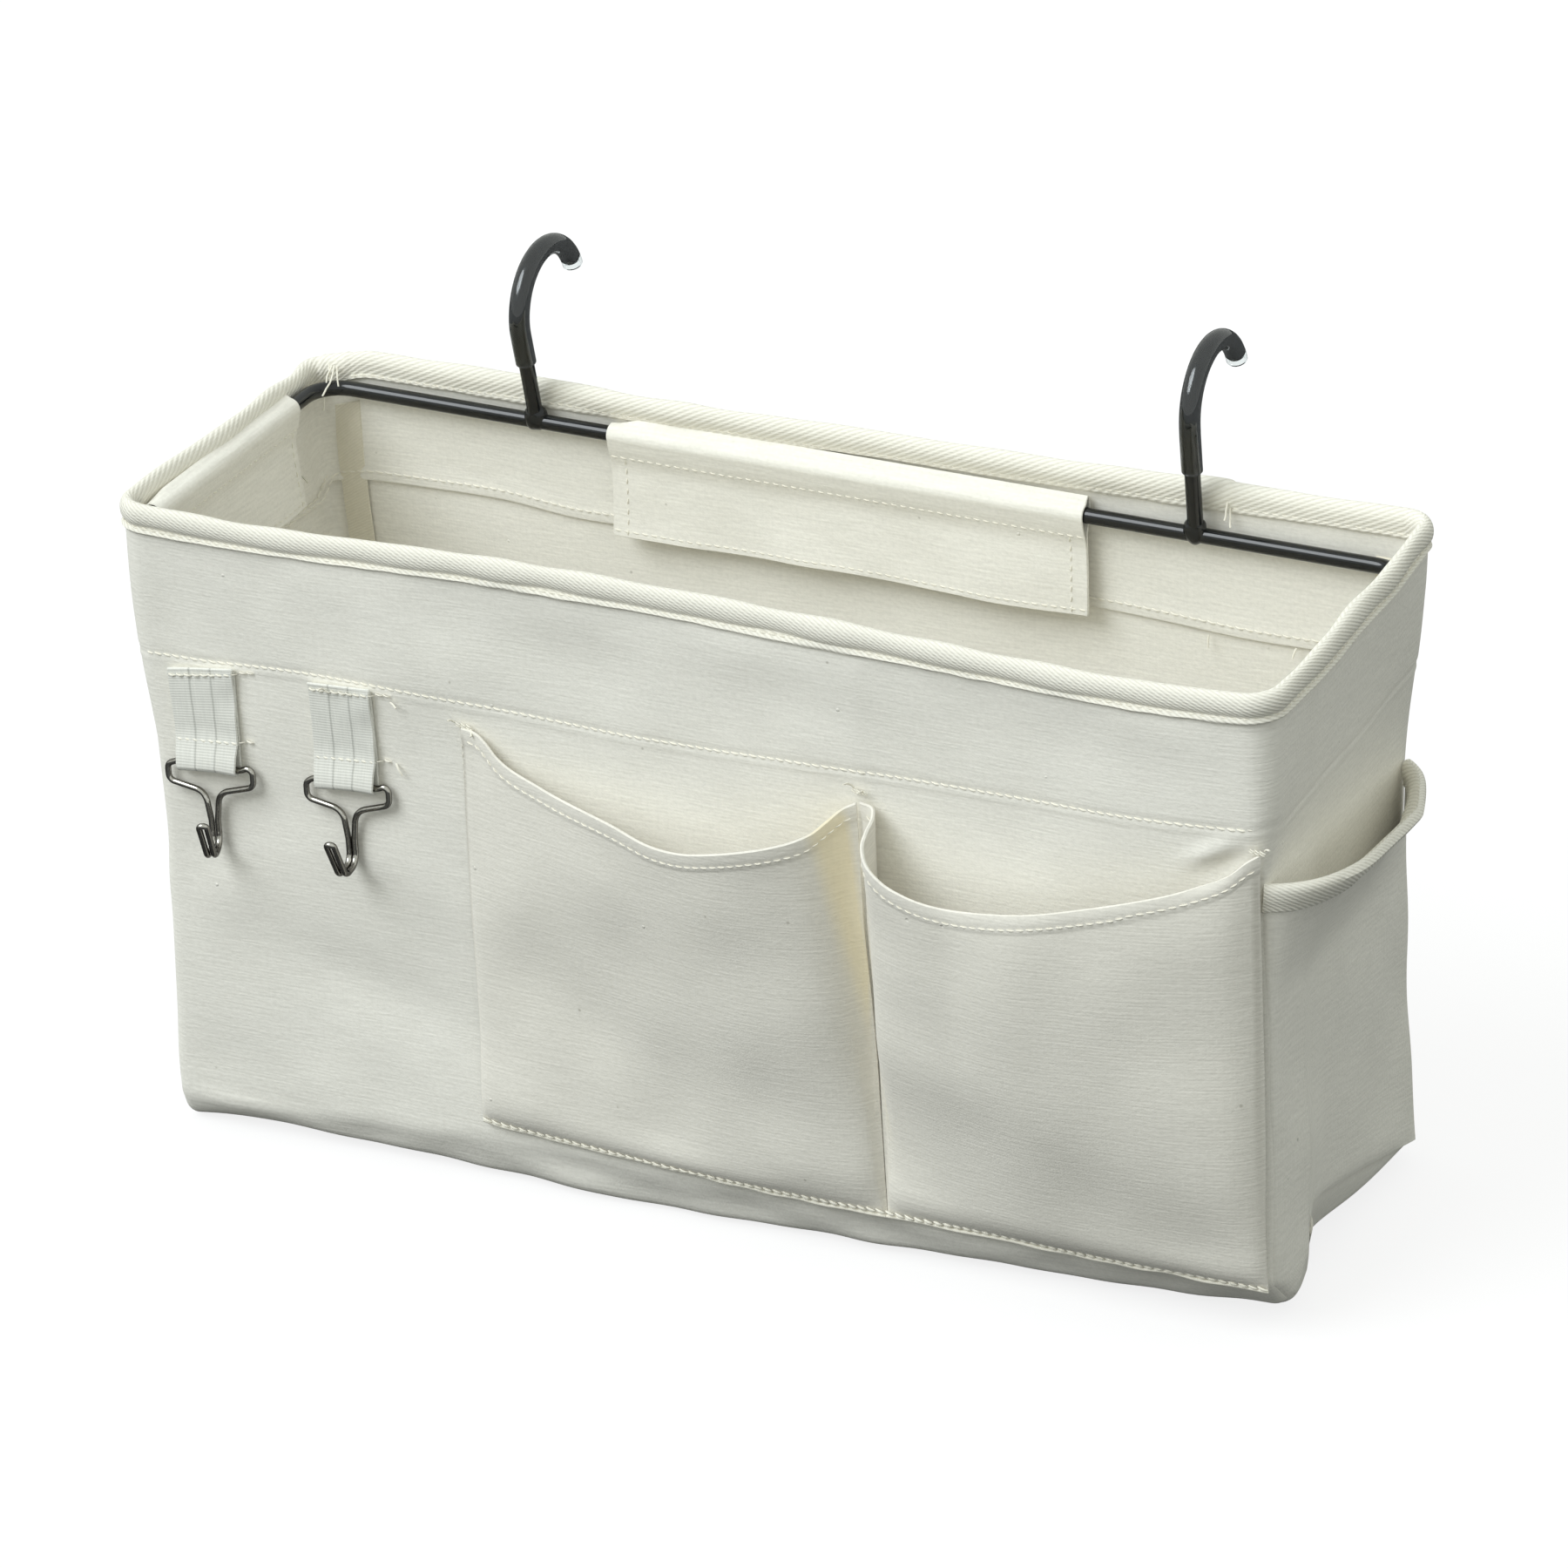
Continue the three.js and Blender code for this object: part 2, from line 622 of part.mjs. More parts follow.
// Wire hook: one wire, from the bar in the loop round the shoulder to the neck, down beside itself,
// forward and up to the tip, and back the same way. Drawn with the bar on the origin.
function wireHookSolid() {
  const shoulder = wireHookWidth / 2 - wireRadius;
  const pair = wireRadius + wirePairGap / 2;
  const foot = -(wireHookDrop - wireRadius);
  const tipHeight = foot + wireTipHeight;
  const heel = wireHookReach * 0.58;
  const tip = pair + wireTipSpread / 2;
  const half = [
    [seamGap, 0, 0, 0],
    [shoulder, 0, 0, wireBend],
    [shoulder, 0, -wireShoulder, wireBend],
    [pair, 0, -wireNeck, wireBend],
    [pair, 0, foot, heel / 2],
    [pair, -heel, foot, heel / 2],
    [tip, -wireHookReach, tipHeight, tip * 0.9],
  ];
  const otherHalf = half.map(([x, y, z, radius]) => [-x, y, z, radius]).reverse();
  return sweptRod(roundShape(wireRadius), bentWire([...half, ...otherHalf]), 84, 4);
}

const firstStrap = -frontFlat(bagHeight - strapDrop) + strapMargin + strapWidth / 2;
for (const [copy, name] of [[0, "left"], [1, "right"]]) {
  const across = firstStrap + copy * strapPitch;
  const place = new THREE.Vector3(across, -(halfDepth + barStandOff), barHeight + copy * strapStep);
  const strap = bentExtrusion(strapShape(), 1, (outward, up, step) => {
    return new THREE.Vector3(lerp(-strapWidth / 2, strapWidth / 2, step), -outward, up);
  });
  addPiece(`${name}_hook_strap`, strap, webbingLook).position.copy(place);
  addPiece(`${name}_wire_hook`, wireHookSolid(), nickelLook).position.copy(place);
}

export default bag;
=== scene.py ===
# %% [markdown]
# # A canvas bag on a steel rim frame
# The bag is sewn from off-white cotton canvas and hangs from a rail by two hooks welded to the frame
# in its rim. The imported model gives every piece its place. This file gives the pieces their looks:
# cloth that sags, tape with ribs, stitches, black coated rod, clear tube and bright wire.
# Lengths in the code are millimetres until a mesh is made, because that is how a bag is cut.

# %% Load the frame
import functools
import math

import bmesh
import bpy
import numpy as np
from mathutils import Matrix, Vector


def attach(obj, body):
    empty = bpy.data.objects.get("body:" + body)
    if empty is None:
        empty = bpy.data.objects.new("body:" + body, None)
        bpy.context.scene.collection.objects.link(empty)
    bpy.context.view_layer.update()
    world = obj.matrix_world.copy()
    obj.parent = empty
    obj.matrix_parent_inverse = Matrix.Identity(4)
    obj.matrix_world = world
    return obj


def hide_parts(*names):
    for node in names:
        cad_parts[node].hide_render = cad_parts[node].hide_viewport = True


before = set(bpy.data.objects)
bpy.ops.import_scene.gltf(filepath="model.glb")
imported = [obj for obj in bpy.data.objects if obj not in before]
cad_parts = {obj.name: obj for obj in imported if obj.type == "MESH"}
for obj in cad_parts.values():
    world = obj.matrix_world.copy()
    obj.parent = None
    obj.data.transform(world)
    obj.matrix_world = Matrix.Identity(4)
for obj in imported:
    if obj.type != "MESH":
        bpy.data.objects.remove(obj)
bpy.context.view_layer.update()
MM = 0.001

# %% [markdown]
# The photograph is taken from the right, a little above the rim, with a long lens and a slight roll.
# A camera could be aimed with a constraint, but a constraint can't roll, so its three axes are worked
# out from the azimuth, the elevation and the roll, and set as one matrix.

# %% Camera
azimuth, elevation, roll = (math.radians(angle) for angle in (27.40, 26.56, -3.08))
back = Vector((
    math.sin(azimuth) * math.cos(elevation),
    -math.cos(azimuth) * math.cos(elevation),
    math.sin(elevation),
))
level = Vector((math.cos(azimuth), math.sin(azimuth), 0))
upright = back.cross(level)
right = level * math.cos(roll) + upright * math.sin(roll)
up = upright * math.cos(roll) - level * math.sin(roll)
camera = bpy.data.objects.new("camera", bpy.data.cameras.new("camera"))
bpy.context.scene.collection.objects.link(camera)
camera.data.sensor_width = 36
camera.data.lens = 164.94
camera.data.clip_start, camera.data.clip_end = 0.05, 50
axes = Matrix((right, up, back)).transposed()
camera.matrix_world = Matrix.Translation(Vector((914.5, -1760.5, 1109.7)) * MM) @ axes.to_4x4()
bpy.context.scene.camera = camera
bpy.context.scene.view_settings.view_transform = "Standard"
print("camera at, mm:", [round(value / MM) for value in camera.location])

# %% [markdown]
# ## Finishes
# Colours are read off as sRGB hex values, and Blender works in linear light, so one function turns
# them over. One more adds a node to a material, with its settings and its links.

# %% Colours and nodes
def linear(hex_colour):
    """sRGB hex to linear RGBA: below 0.04045 a value is divided by 12.92, above it ((c + 0.055) / 1.055)^2.4."""
    parts = [int(hex_colour[i:i + 2], 16) / 255 for i in (1, 3, 5)]
    return tuple(c / 12.92 if c <= 0.04045 else ((c + 0.055) / 1.055) ** 2.4 for c in parts) + (1.0,)


def add_node(tree, kind, sockets=None, out=0, **settings):
    """Adds a node, sets its properties, fills its sockets by name or number with a value or a link, and
    returns one of its outputs."""
    node = tree.nodes.new("ShaderNode" + kind)
    for name, value in settings.items():
        setattr(node, name, value)
    for key, value in (sockets or {}).items():
        if isinstance(value, bpy.types.NodeSocket):
            tree.links.new(value, node.inputs[key])
        else:
            node.inputs[key].default_value = value
    return node.outputs[out]


def new_finish(name, colour, **surface):
    """A material with an empty Principled surface, whose constant sockets are set here by name. Returned with it are
    its surface and add_node bound to its tree."""
    material = bpy.data.materials.new(name)
    material.use_nodes = True
    shader = material.node_tree.nodes["Principled BSDF"]
    shader.inputs["Base Color"].default_value = linear(colour)
    for socket, value in surface.items():
        shader.inputs[socket.replace("_", " ")].default_value = value
    return material, shader, functools.partial(add_node, material.node_tree)


def complete(shader, shade, height, strength, depth):
    """Links a finish's colour, and its height as a bump that is depth mm high at a height of 1."""
    tree = shader.id_data
    bump = add_node(tree, "Bump", {"Strength": strength, "Distance": depth * MM, "Height": height})
    tree.links.new(shade, shader.inputs["Base Color"])
    tree.links.new(bump, shader.inputs["Normal"])


WAVE = 2 * math.pi / 20  # a wave texture of scale 1 repeats after this length

# %% [markdown]
# Cloth patterns have to follow the cloth, so each sewn piece carries a UV map measured along the
# cloth, with 1 for 100 mm. A Mapping node turns that into millimetres for the textures.
#
# **Cotton canvas** is a plain weave of thick, uneven yarn, matt and a little translucent. The yarn is
# about 0.6 mm apart, finer than a pixel here, so the weave is drawn at 1.1 mm. What the eye sees from a
# step away is a fine grain, faint slubs, which are thick stretches of yarn that run along the weft, and
# here and there a speck of seed husk or a small knot.

# %% Canvas
def make_canvas(name, colour):
    """Plain weave: two crossed waves 1.1 mm apart, a grain of 1.5 by 1.1 mm, slubs 12 mm long, and one speck or
    knot in some of the cells of a Voronoi pattern."""
    material, shader, add = new_finish(
        name, colour, Roughness=0.92, Specular_IOR_Level=0.25, Sheen_Weight=0.1, Sheen_Roughness=0.5)
    uv = add("UVMap", uv_map="cloth")
    flat = add("Mapping", {"Vector": uv, "Scale": (100, 100, 1)})
    along_weft = add("Mapping", {"Vector": uv, "Scale": (100 / 12, 100 / 0.9, 1)})
    broad = add("Mapping", {"Vector": uv, "Scale": (100 / 30, 100 / 40, 1)})
    # The weave, its grain and its thick yarns
    yarn = {"Vector": flat, "Scale": WAVE / 1.1, "Distortion": 2.5, "Detail": 2.0}
    weft = add("TexWave", yarn, out="Fac", bands_direction="Y")
    warp = add("TexWave", yarn, out="Fac", bands_direction="X")
    weave = add("Math", {0: weft, 1: warp}, operation="MULTIPLY")
    streaky = add("Mapping", {"Vector": uv, "Scale": (100 / 1.5, 100 / 1.1, 1)})
    grain = add("TexNoise", {"Vector": streaky, "Scale": 1.0, "Detail": 3.0})
    slub = add("TexNoise", {"Vector": along_weft, "Scale": 1.0, "Detail": 2.0})
    # One cell in three, 13 mm apart, holds a dark husk, and one in three a knot
    apart = add("TexVoronoi", {"Vector": flat, "Scale": 1 / 13}, out="Distance")
    cell = add("TexVoronoi", {"Vector": flat, "Scale": 1 / 13}, out="Color")
    near = add("MapRange", {0: apart, 1: 0.05, 2: 0.02})
    draw = add("SeparateColor", {0: cell})
    is_husk = add("Math", {0: draw, 1: 0.66}, operation="GREATER_THAN")
    is_knot = add("Math", {0: draw, 1: 0.3}, operation="LESS_THAN")
    husk = add("Math", {0: near, 1: is_husk}, operation="MULTIPLY")
    knot = add("Math", {0: near, 1: is_knot}, operation="MULTIPLY")
    # Colour: a little darker between yarns and along thin stretches, a broad cloudiness, and the husks
    cloud = add("TexNoise", {"Vector": broad, "Scale": 1.0, "Detail": 2.0})
    shade = linear(colour)
    for noise, full, most, darker in (
            (grain, 0.65, 0.1, "#8E8B7C"), (slub, 0.65, 0.1, "#8E8B7C"), (cloud, 0.7, 0.035, "#A9A593")):
        thin = add("MapRange", {0: noise, 1: 0.3, 2: full, 3: most, 4: 0.0})
        shade = add("Mix", {0: thin, 6: shade, 7: linear(darker)}, out=2, data_type="RGBA")
    husk = add("Math", {0: husk, 1: 0.4}, operation="MULTIPLY")
    shade = add("Mix", {0: husk, 6: shade, 7: linear("#7C7662")}, out=2, data_type="RGBA")
    # Where the pockets meet, the cloth lies folded, and a wedge there that narrows towards the foot is painted warm:
    # painted warm light, as bounced between the folds of cream cloth. In mm, x + 0.15 z is over 69 there and x +
    # 0.087 z under 70
    x, y, z = add("SeparateXYZ", {0: add("TexCoord", out="Object")}).node.outputs
    slanted = add("Math", {0: z, 1: 0.15, 2: x}, operation="MULTIPLY_ADD")
    painted_warm_bounce = add("MapRange", {0: slanted, 1: 0.0687, 2: 0.0733}, interpolation_type="SMOOTHSTEP")
    slanted = add("Math", {0: z, 1: 0.087, 2: x}, operation="MULTIPLY_ADD")
    stops = add("MapRange", {0: slanted, 1: 0.0705, 2: 0.0685})
    in_front = add("MapRange", {0: y, 1: -0.0630, 2: -0.0642})
    low_enough = add("MapRange", {0: z, 1: 0.153, 2: 0.149})
    high_enough = add("MapRange", {0: z, 1: 0.035, 2: 0.070})
    for share in (stops, in_front, low_enough, high_enough, 0.55):
        painted_warm_bounce = add("Math", {0: painted_warm_bounce, 1: share}, operation="MULTIPLY")
    shade = add("Mix", {0: painted_warm_bounce, 6: shade, 7: linear("#FFF0C4")}, out=2, data_type="RGBA")
    # Painted shade along the creases of the pockets' outer seams: x - 0.022 z is -77.6 mm at one, x is 187 mm at the
    # other.
    # It is patchy and fades out towards the foot
    leaning = add("Math", {0: z, 1: -0.022, 2: x}, operation="MULTIPLY_ADD")
    front_only = add("MapRange", {0: y, 1: -0.050, 2: -0.056})
    fading = add("MapRange", {0: z, 1: 0.014, 2: 0.130})
    patchy = add("MapRange", {0: slub, 1: 0.3, 2: 0.6, 3: 0.45, 4: 1.0})
    for from_left, seam, most in ((leaning, -0.0776, 0.42), (x, 0.187, 0.35)):
        off = add("Math", {0: from_left, 1: seam}, operation="SUBTRACT")
        off = add("Math", {0: off}, operation="ABSOLUTE")
        painted_seam_shade = add("MapRange", {0: off, 1: 0.0003, 2: 0.0013, 3: most, 4: 0.0})
        for share in (front_only, fading, low_enough, patchy):
            painted_seam_shade = add("Math", {0: painted_seam_shade, 1: share}, operation="MULTIPLY")
        shade = add("Mix", {0: painted_seam_shade, 6: shade, 7: linear("#8E8878")}, out=2, data_type="RGBA")
    # Height: yarns, grain, slubs and knots
    height = grain
    for raised, by in ((weave, 0.22), (slub, 0.9), (knot, 3.0)):
        height = add("Math", {0: raised, 1: by, 2: height}, operation="MULTIPLY_ADD")
    complete(shader, shade, height, 0.5, 0.2)
    return material


canvas = make_canvas("cotton_canvas", "#FDFAF1")
# The pockets' copy of the canvas is darker: painted shade, as their cloth leans away from the light
shaded_pocket_canvas = make_canvas("cotton_canvas_painted_shade_pockets", "#F6F2E8")
print("canvas nodes:", len(canvas.node_tree.nodes))

# %% [markdown]
# **Twill tape** is a herringbone: soft ribs 1.5 mm apart cross it on a slant, which changes sides at the
# tape's middle, on top of the rim. The tape over the inner seams has so much finer ribs that it looks
# almost plain. **Webbing** is flat, dense and slightly shiny, with fine ribs across and two straight
# lines where the warp changes.

# %% Twill tape and webbing
RIB_PITCH, RIB_SLANT, TAPE_MIDDLE = 1.5, math.radians(62), 11.5


def make_twill(name, colour, pitch, groove_shade_share, rib_height, middle=0.0):
    """Slanted ribs: a wave of (u, |v - middle|) turned by the slant, so they change direction at the tape's middle.
    Before it, on the tape's outer half, they lie 1.4 times closer. Their grooves are darkened with painted shade, and
    they are crossed by fine threads. Lengths are in mm."""
    material, shader, add = new_finish(
        name, colour, Roughness=0.85, Specular_IOR_Level=0.3, Sheen_Weight=0.12, Sheen_Roughness=0.5)
    uv = add("UVMap", uv_map="cloth")
    flat = add("Mapping", {"Vector": uv, "Scale": (100, 100, 1)})
    along = add("SeparateXYZ", {0: flat})
    from_middle = add("Math", {0: along.node.outputs["Y"], 1: middle}, operation="SUBTRACT")
    scale = add("MapRange", {0: from_middle, 1: -0.05, 2: 0.0, 3: 1.4 * WAVE / pitch, 4: WAVE / pitch})
    from_middle = add("Math", {0: from_middle}, operation="ABSOLUTE")
    folded = add("CombineXYZ", {"X": along, "Y": from_middle})
    turned = add("Mapping", {"Vector": folded, "Rotation": (0, 0, RIB_SLANT)})
    ribs = add("TexWave", {"Vector": turned, "Scale": scale, "Distortion": 0.4}, out="Fac")
    threads = add("TexWave", {"Vector": flat, "Scale": WAVE / 0.9, "Distortion": 0.8}, out="Fac", bands_direction="Y")
    uneven = add("TexNoise", {"Vector": flat, "Scale": 0.6, "Detail": 3.0})
    # Painted shade: the colour is darkened in the ribs' grooves
    painted_groove_shade = add("MapRange", {0: ribs, 1: 0.0, 2: 0.6, 3: groove_shade_share, 4: 0.0})
    shade = add("Mix", {0: painted_groove_shade, 6: linear(colour), 7: linear("#A89F8A")}, out=2, data_type="RGBA")
    worn = add("MapRange", {0: uneven, 1: 0.3, 2: 0.7, 3: 0.1, 4: 0.0})
    shade = add("Mix", {0: worn, 6: shade, 7: linear("#B5AD97")}, out=2, data_type="RGBA")
    height = add("Math", {0: threads, 1: 0.3, 2: ribs}, operation="MULTIPLY_ADD")
    height = add("Math", {0: uneven, 1: 0.8, 2: height}, operation="MULTIPLY_ADD")
    complete(shader, shade, height, 0.6, rib_height)
    return material


def make_webbing(name, colour, width):
    """Flat webbing: cross ribs 0.9 mm apart, and a fine line at each third of its width."""
    material, shader, add = new_finish(
        name, colour, Roughness=0.7, Specular_IOR_Level=0.35, Sheen_Weight=0.15, Sheen_Roughness=0.4)
    uv = add("UVMap", uv_map="cloth")
    flat = add("Mapping", {"Vector": uv, "Scale": (100, 100, 1)})
    streaky = add("Mapping", {"Vector": uv, "Scale": (100 / 0.7, 100 / 9, 1)})
    ribs = add("TexWave", {"Vector": flat, "Scale": WAVE / 0.9, "Distortion": 0.3}, out="Fac", bands_direction="Y")
    yarn = add("TexNoise", {"Vector": streaky, "Scale": 1.0, "Detail": 2.0})
    # The distance to the nearer line: | |across - middle| - width / 6 |
    across = add("SeparateXYZ", {0: flat})
    off = across
    for distance in (width / 2, width / 6):
        off = add("Math", {0: off, 1: distance}, operation="SUBTRACT")
        off = add("Math", {0: off}, operation="ABSOLUTE")
    line = add("MapRange", {0: off, 1: 0.45, 2: 0.15, 3: 0.0, 4: 0.4})
    thin = add("MapRange", {0: yarn, 1: 0.35, 2: 0.7, 3: 0.14, 4: 0.0})
    shade = add("Mix", {0: thin, 6: linear(colour), 7: linear("#A7ABA6")}, out=2, data_type="RGBA")
    shade = add("Mix", {0: line, 6: shade, 7: linear("#8C8E86")}, out=2, data_type="RGBA")
    height = add("Math", {0: ribs, 1: 0.4, 2: yarn}, operation="MULTIPLY_ADD")
    height = add("Math", {0: line, 1: -2.0, 2: height}, operation="MULTIPLY_ADD")
    complete(shader, shade, height, 0.6, 0.2)
    return material


STRAP_WIDTH = 21.3
twill = make_twill("cotton_twill_tape", "#FBF8ED", RIB_PITCH, 0.26, 0.22, TAPE_MIDDLE)
plain_tape = make_twill("fine_cotton_tape", "#F0EAD8", 0.9, 0.1, 0.1)
webbing = make_webbing("flat_webbing", "#F1F0E8", STRAP_WIDTH)
print("rib pitch, mm:", RIB_PITCH)

# %% [markdown]
# **Sewing thread** is cream, slightly shiny, with a twist. **Black powder coat** on the rod is smooth
# and glossy with a faint orange peel. **Soft PVC tube** is clear with a slightly hazy surface.
# **Nickel plate** on the wire is a mirror with fine drawing marks along it.

# %% Thread, coating, tube and wire
def make_plain(name, colour, second, grain, share, bump_depth, roughness, **surface):
    """A finish with no direction: noise of one grain size in mm turns the colour part of the way to a second
    one, moves the roughness between two values and raises the surface by bump_depth mm."""
    material, shader, add = new_finish(name, colour, **surface)
    place = add("TexCoord", out="Object")
    noise = add("TexNoise", {"Vector": place, "Scale": 1 / (grain * MM), "Detail": 2.0})
    part = add("MapRange", {0: noise, 1: 0.3, 2: 0.7, 3: 0.0, 4: share})
    shade = add("Mix", {0: part, 6: linear(colour), 7: linear(second)}, out=2, data_type="RGBA")
    rough = add("MapRange", {0: noise, 1: 0.3, 2: 0.7, 3: roughness[0], 4: roughness[1]})
    material.node_tree.links.new(rough, shader.inputs["Roughness"])
    complete(shader, shade, noise, 0.5, bump_depth)
    return material


thread = make_plain("cotton_thread", "#FBF7EA", "#CFC9B6", 0.35, 0.2, 0.06, (0.7, 0.8), Specular_IOR_Level=0.3)
black_coat = make_plain("black_powder_coat", "#0B0D0F", "#1D2124", 0.7, 0.35, 0.006, (0.1, 0.18),
                        Specular_IOR_Level=0.6)
clear_pvc = make_plain("clear_pvc", "#EEF3F3", "#E6EDED", 9.0, 1.0, 0.004, (0.02, 0.06),
                       IOR=1.5, Transmission_Weight=1.0)
nickel = make_plain("nickel_plated_wire", "#DCDAD4", "#BCB8B0", 0.8, 1.0, 0.006, (0.08, 0.18), Metallic=1.0)
# The plating is darkened where it is seen at a glancing angle: a painted dark reflection, standing in for dark
# surroundings
tree = nickel.node_tree
shader = tree.nodes["Principled BSDF"]
plate = shader.inputs["Base Color"].links[0].from_socket
glancing = add_node(tree, "LayerWeight", {"Blend": 0.45}, out="Facing")
painted_dark_reflection = add_node(tree, "MapRange", {0: glancing, 1: 0.06, 2: 0.55})
plate = add_node(tree, "Mix", {0: painted_dark_reflection, 6: plate, 7: linear("#45413C")}, out=2, data_type="RGBA")
tree.links.new(plate, shader.inputs["Base Color"])
finishes = (canvas, shaded_pocket_canvas, twill, plain_tape, webbing, thread, black_coat, clear_pvc, nickel)
print("finishes:", ", ".join(finish.name for finish in finishes))

# %% [markdown]
# ## Meshes from grids
# Every sewn piece is a function of two parameters, worked out on a whole grid at once. One function
# turns such a grid into a closed mesh with its UV map. Where the grid's last column meets its first,
# the UV map still runs on, so it has one more column than the grid.

# %% Grid to mesh
def run_along(path, closed=False):
    """Distance along a path at each of its points, from the first. A closed one ends at its first point again."""
    path = np.concatenate([path, path[:1]]) if closed else path
    return np.concatenate([[0], np.cumsum(np.linalg.norm(np.diff(path, axis=0), axis=1))])


def points_at(at, run, path):
    """The points at some distances along a path, where run is that of each of its own points."""
    return np.stack([np.interp(at, run, path[:, k]) for k in range(3)], -1)


def unit(vectors):
    """Each vector divided by its length."""
    return vectors / np.maximum(np.linalg.norm(vectors, axis=-1, keepdims=True), 1e-9)


def cloth_map(across, upward):
    """Cloth coordinates in mm for each row and column."""
    return np.stack(np.meshgrid(across, upward), -1)


def mesh_from(name, vertices, faces, uv=None):
    """Makes a mesh object from vertices in mm and faces. uv has one pair for each face corner, in mm."""
    mesh = bpy.data.meshes.new(name)
    mesh.from_pydata((np.asarray(vertices, float) * MM).tolist(), [], [list(face) for face in faces])
    if uv is not None:
        layer = mesh.uv_layers.new(name="cloth")
        layer.data.foreach_set("uv", (np.asarray(uv, float) / 100).ravel())
    work = bmesh.new()
    work.from_mesh(mesh)
    bmesh.ops.remove_doubles(work, verts=work.verts, dist=1e-7)
    bmesh.ops.recalc_face_normals(work, faces=work.faces)
    work.to_mesh(mesh)
    work.free()
    mesh.polygons.foreach_set("use_smooth", np.ones(len(mesh.polygons), bool))
    mesh.set_sharp_from_angle(angle=math.radians(50))
    piece = bpy.data.objects.new(name, mesh)
    bpy.context.scene.collection.objects.link(piece)
    return piece


def quilt(name, grid, uv, around=False, over=False, caps=False):
    """A grid (rows, columns, 3) as quads. around joins the last column to the first, over the last row
    to the first. caps closes the first and last column of a grid that is joined over, or row if around."""
    rows, columns = grid.shape[:2]
    row, column = np.meshgrid(
        np.arange(rows if over else rows - 1), np.arange(columns if around else columns - 1), indexing="ij")
    corners = [(row, column), (row, column + 1), (row + 1, column + 1), (row + 1, column)]
    faces = np.stack([(r % rows) * columns + c % columns for r, c in corners], -1).reshape(-1, 4)
    marks = np.stack([uv[r, c] for r, c in corners], -2).reshape(-1, 2)
    faces = faces.tolist()
    if caps:
        index = np.arange(rows * columns).reshape(rows, columns)
        ends = (index[:, 0], index[:, -1]) if over else (index[0], index[-1])
        at_points = uv[:rows, :columns].reshape(-1, 2)
        for end in ends:
            faces.append(end.tolist())
            marks = np.concatenate([marks, at_points[end]])
    return mesh_from(name, grid.reshape(-1, 3), faces, marks)


def dress(piece, material, nodes=(), body="bag"):
    """Gives a piece its finish and the body it moves with, and hides the nodes it stands for."""
    piece.data.materials.clear()
    piece.data.materials.append(material)
    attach(piece, body)
    if nodes:
        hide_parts(*nodes)
    size = np.array(piece.dimensions) / MM
    print(f"{piece.name}: {len(piece.data.polygons)} faces, {size[0]:.1f} x {size[1]:.1f} x {size[2]:.1f} mm")
    return piece

# %% [markdown]
# ## How the cloth hangs
# A sewn bag isn't a box: the rim dips where nothing holds it, the walls lean, the foot rolls under
# and the weight presses soft dents into the canvas. Each piece could be bent by itself, but then
# neighbours would cut into each other. So all cloth is drawn on the straight bag first, and one
# smooth field of offsets then moves everything: pieces that lie on each other stay so.

# %% Smooth curves and soft hills
def ease(value, low, high):
    """0 at low, 1 at high and 3t^2 - 2t^3 between. low may lie above high."""
    t = np.clip((value - low) / (high - low), 0, 1)
    return t * t * (3 - 2 * t)


def through(value, stations, heights):
    """A curve through (station, height) pairs: cubic pieces that share their slope at each station."""
    stations, heights = np.asarray(stations, float), np.asarray(heights, float)
    slopes = np.gradient(heights, stations)
    i = np.clip(np.searchsorted(stations, value) - 1, 0, len(stations) - 2)
    step = stations[i + 1] - stations[i]
    t = np.clip((value - stations[i]) / step, 0, 1)
    start = (2 * t**3 - 3 * t**2 + 1) * heights[i] + (t**3 - 2 * t**2 + t) * step * slopes[i]
    return start + (3 * t**2 - 2 * t**3) * heights[i + 1] + (t**3 - t**2) * step * slopes[i + 1]


def hill(u, v, centre, size, turn=0):
    """A soft hill: e to the minus (a / size0)^2 + (b / size1)^2, with a and b along axes turned by turn degrees."""
    du, dv = u - centre[0], v - centre[1]
    c, s = math.cos(math.radians(turn)), math.sin(math.radians(turn))
    return np.exp(-(((du * c + dv * s) / size[0]) ** 2) - ((-du * s + dv * c) / size[1]) ** 2)


def swell(u, v, size, seed):
    """Soft waves about size long: the sum of twelve sines in directions drawn with a fixed seed."""
    draws = np.random.default_rng(seed).uniform((0, 0, 0.7), (math.pi, 2 * math.pi, 1.5), (12, 3))
    total = sum(np.sin(2 * math.pi / (size * k) * (u * math.cos(a) + v * math.sin(a)) + p) for a, p, k in draws)
    return total / math.sqrt(12)

# %% The field that moves the cloth
HALF_DEPTH = 62
RIM = 212


def flare(z):
    """How far the walls have opened towards the rim, 0 at 130 mm and 1 at the rim tape."""
    return np.clip((z - 130) / 72.7, 0, 1)


def half_length(z):
    """Half the straight bag's length at a height."""
    return 186 + 6 * flare(z)


def corner_radius(z):
    """The corners' radius at a height."""
    return 5 + 4 * flare(z)


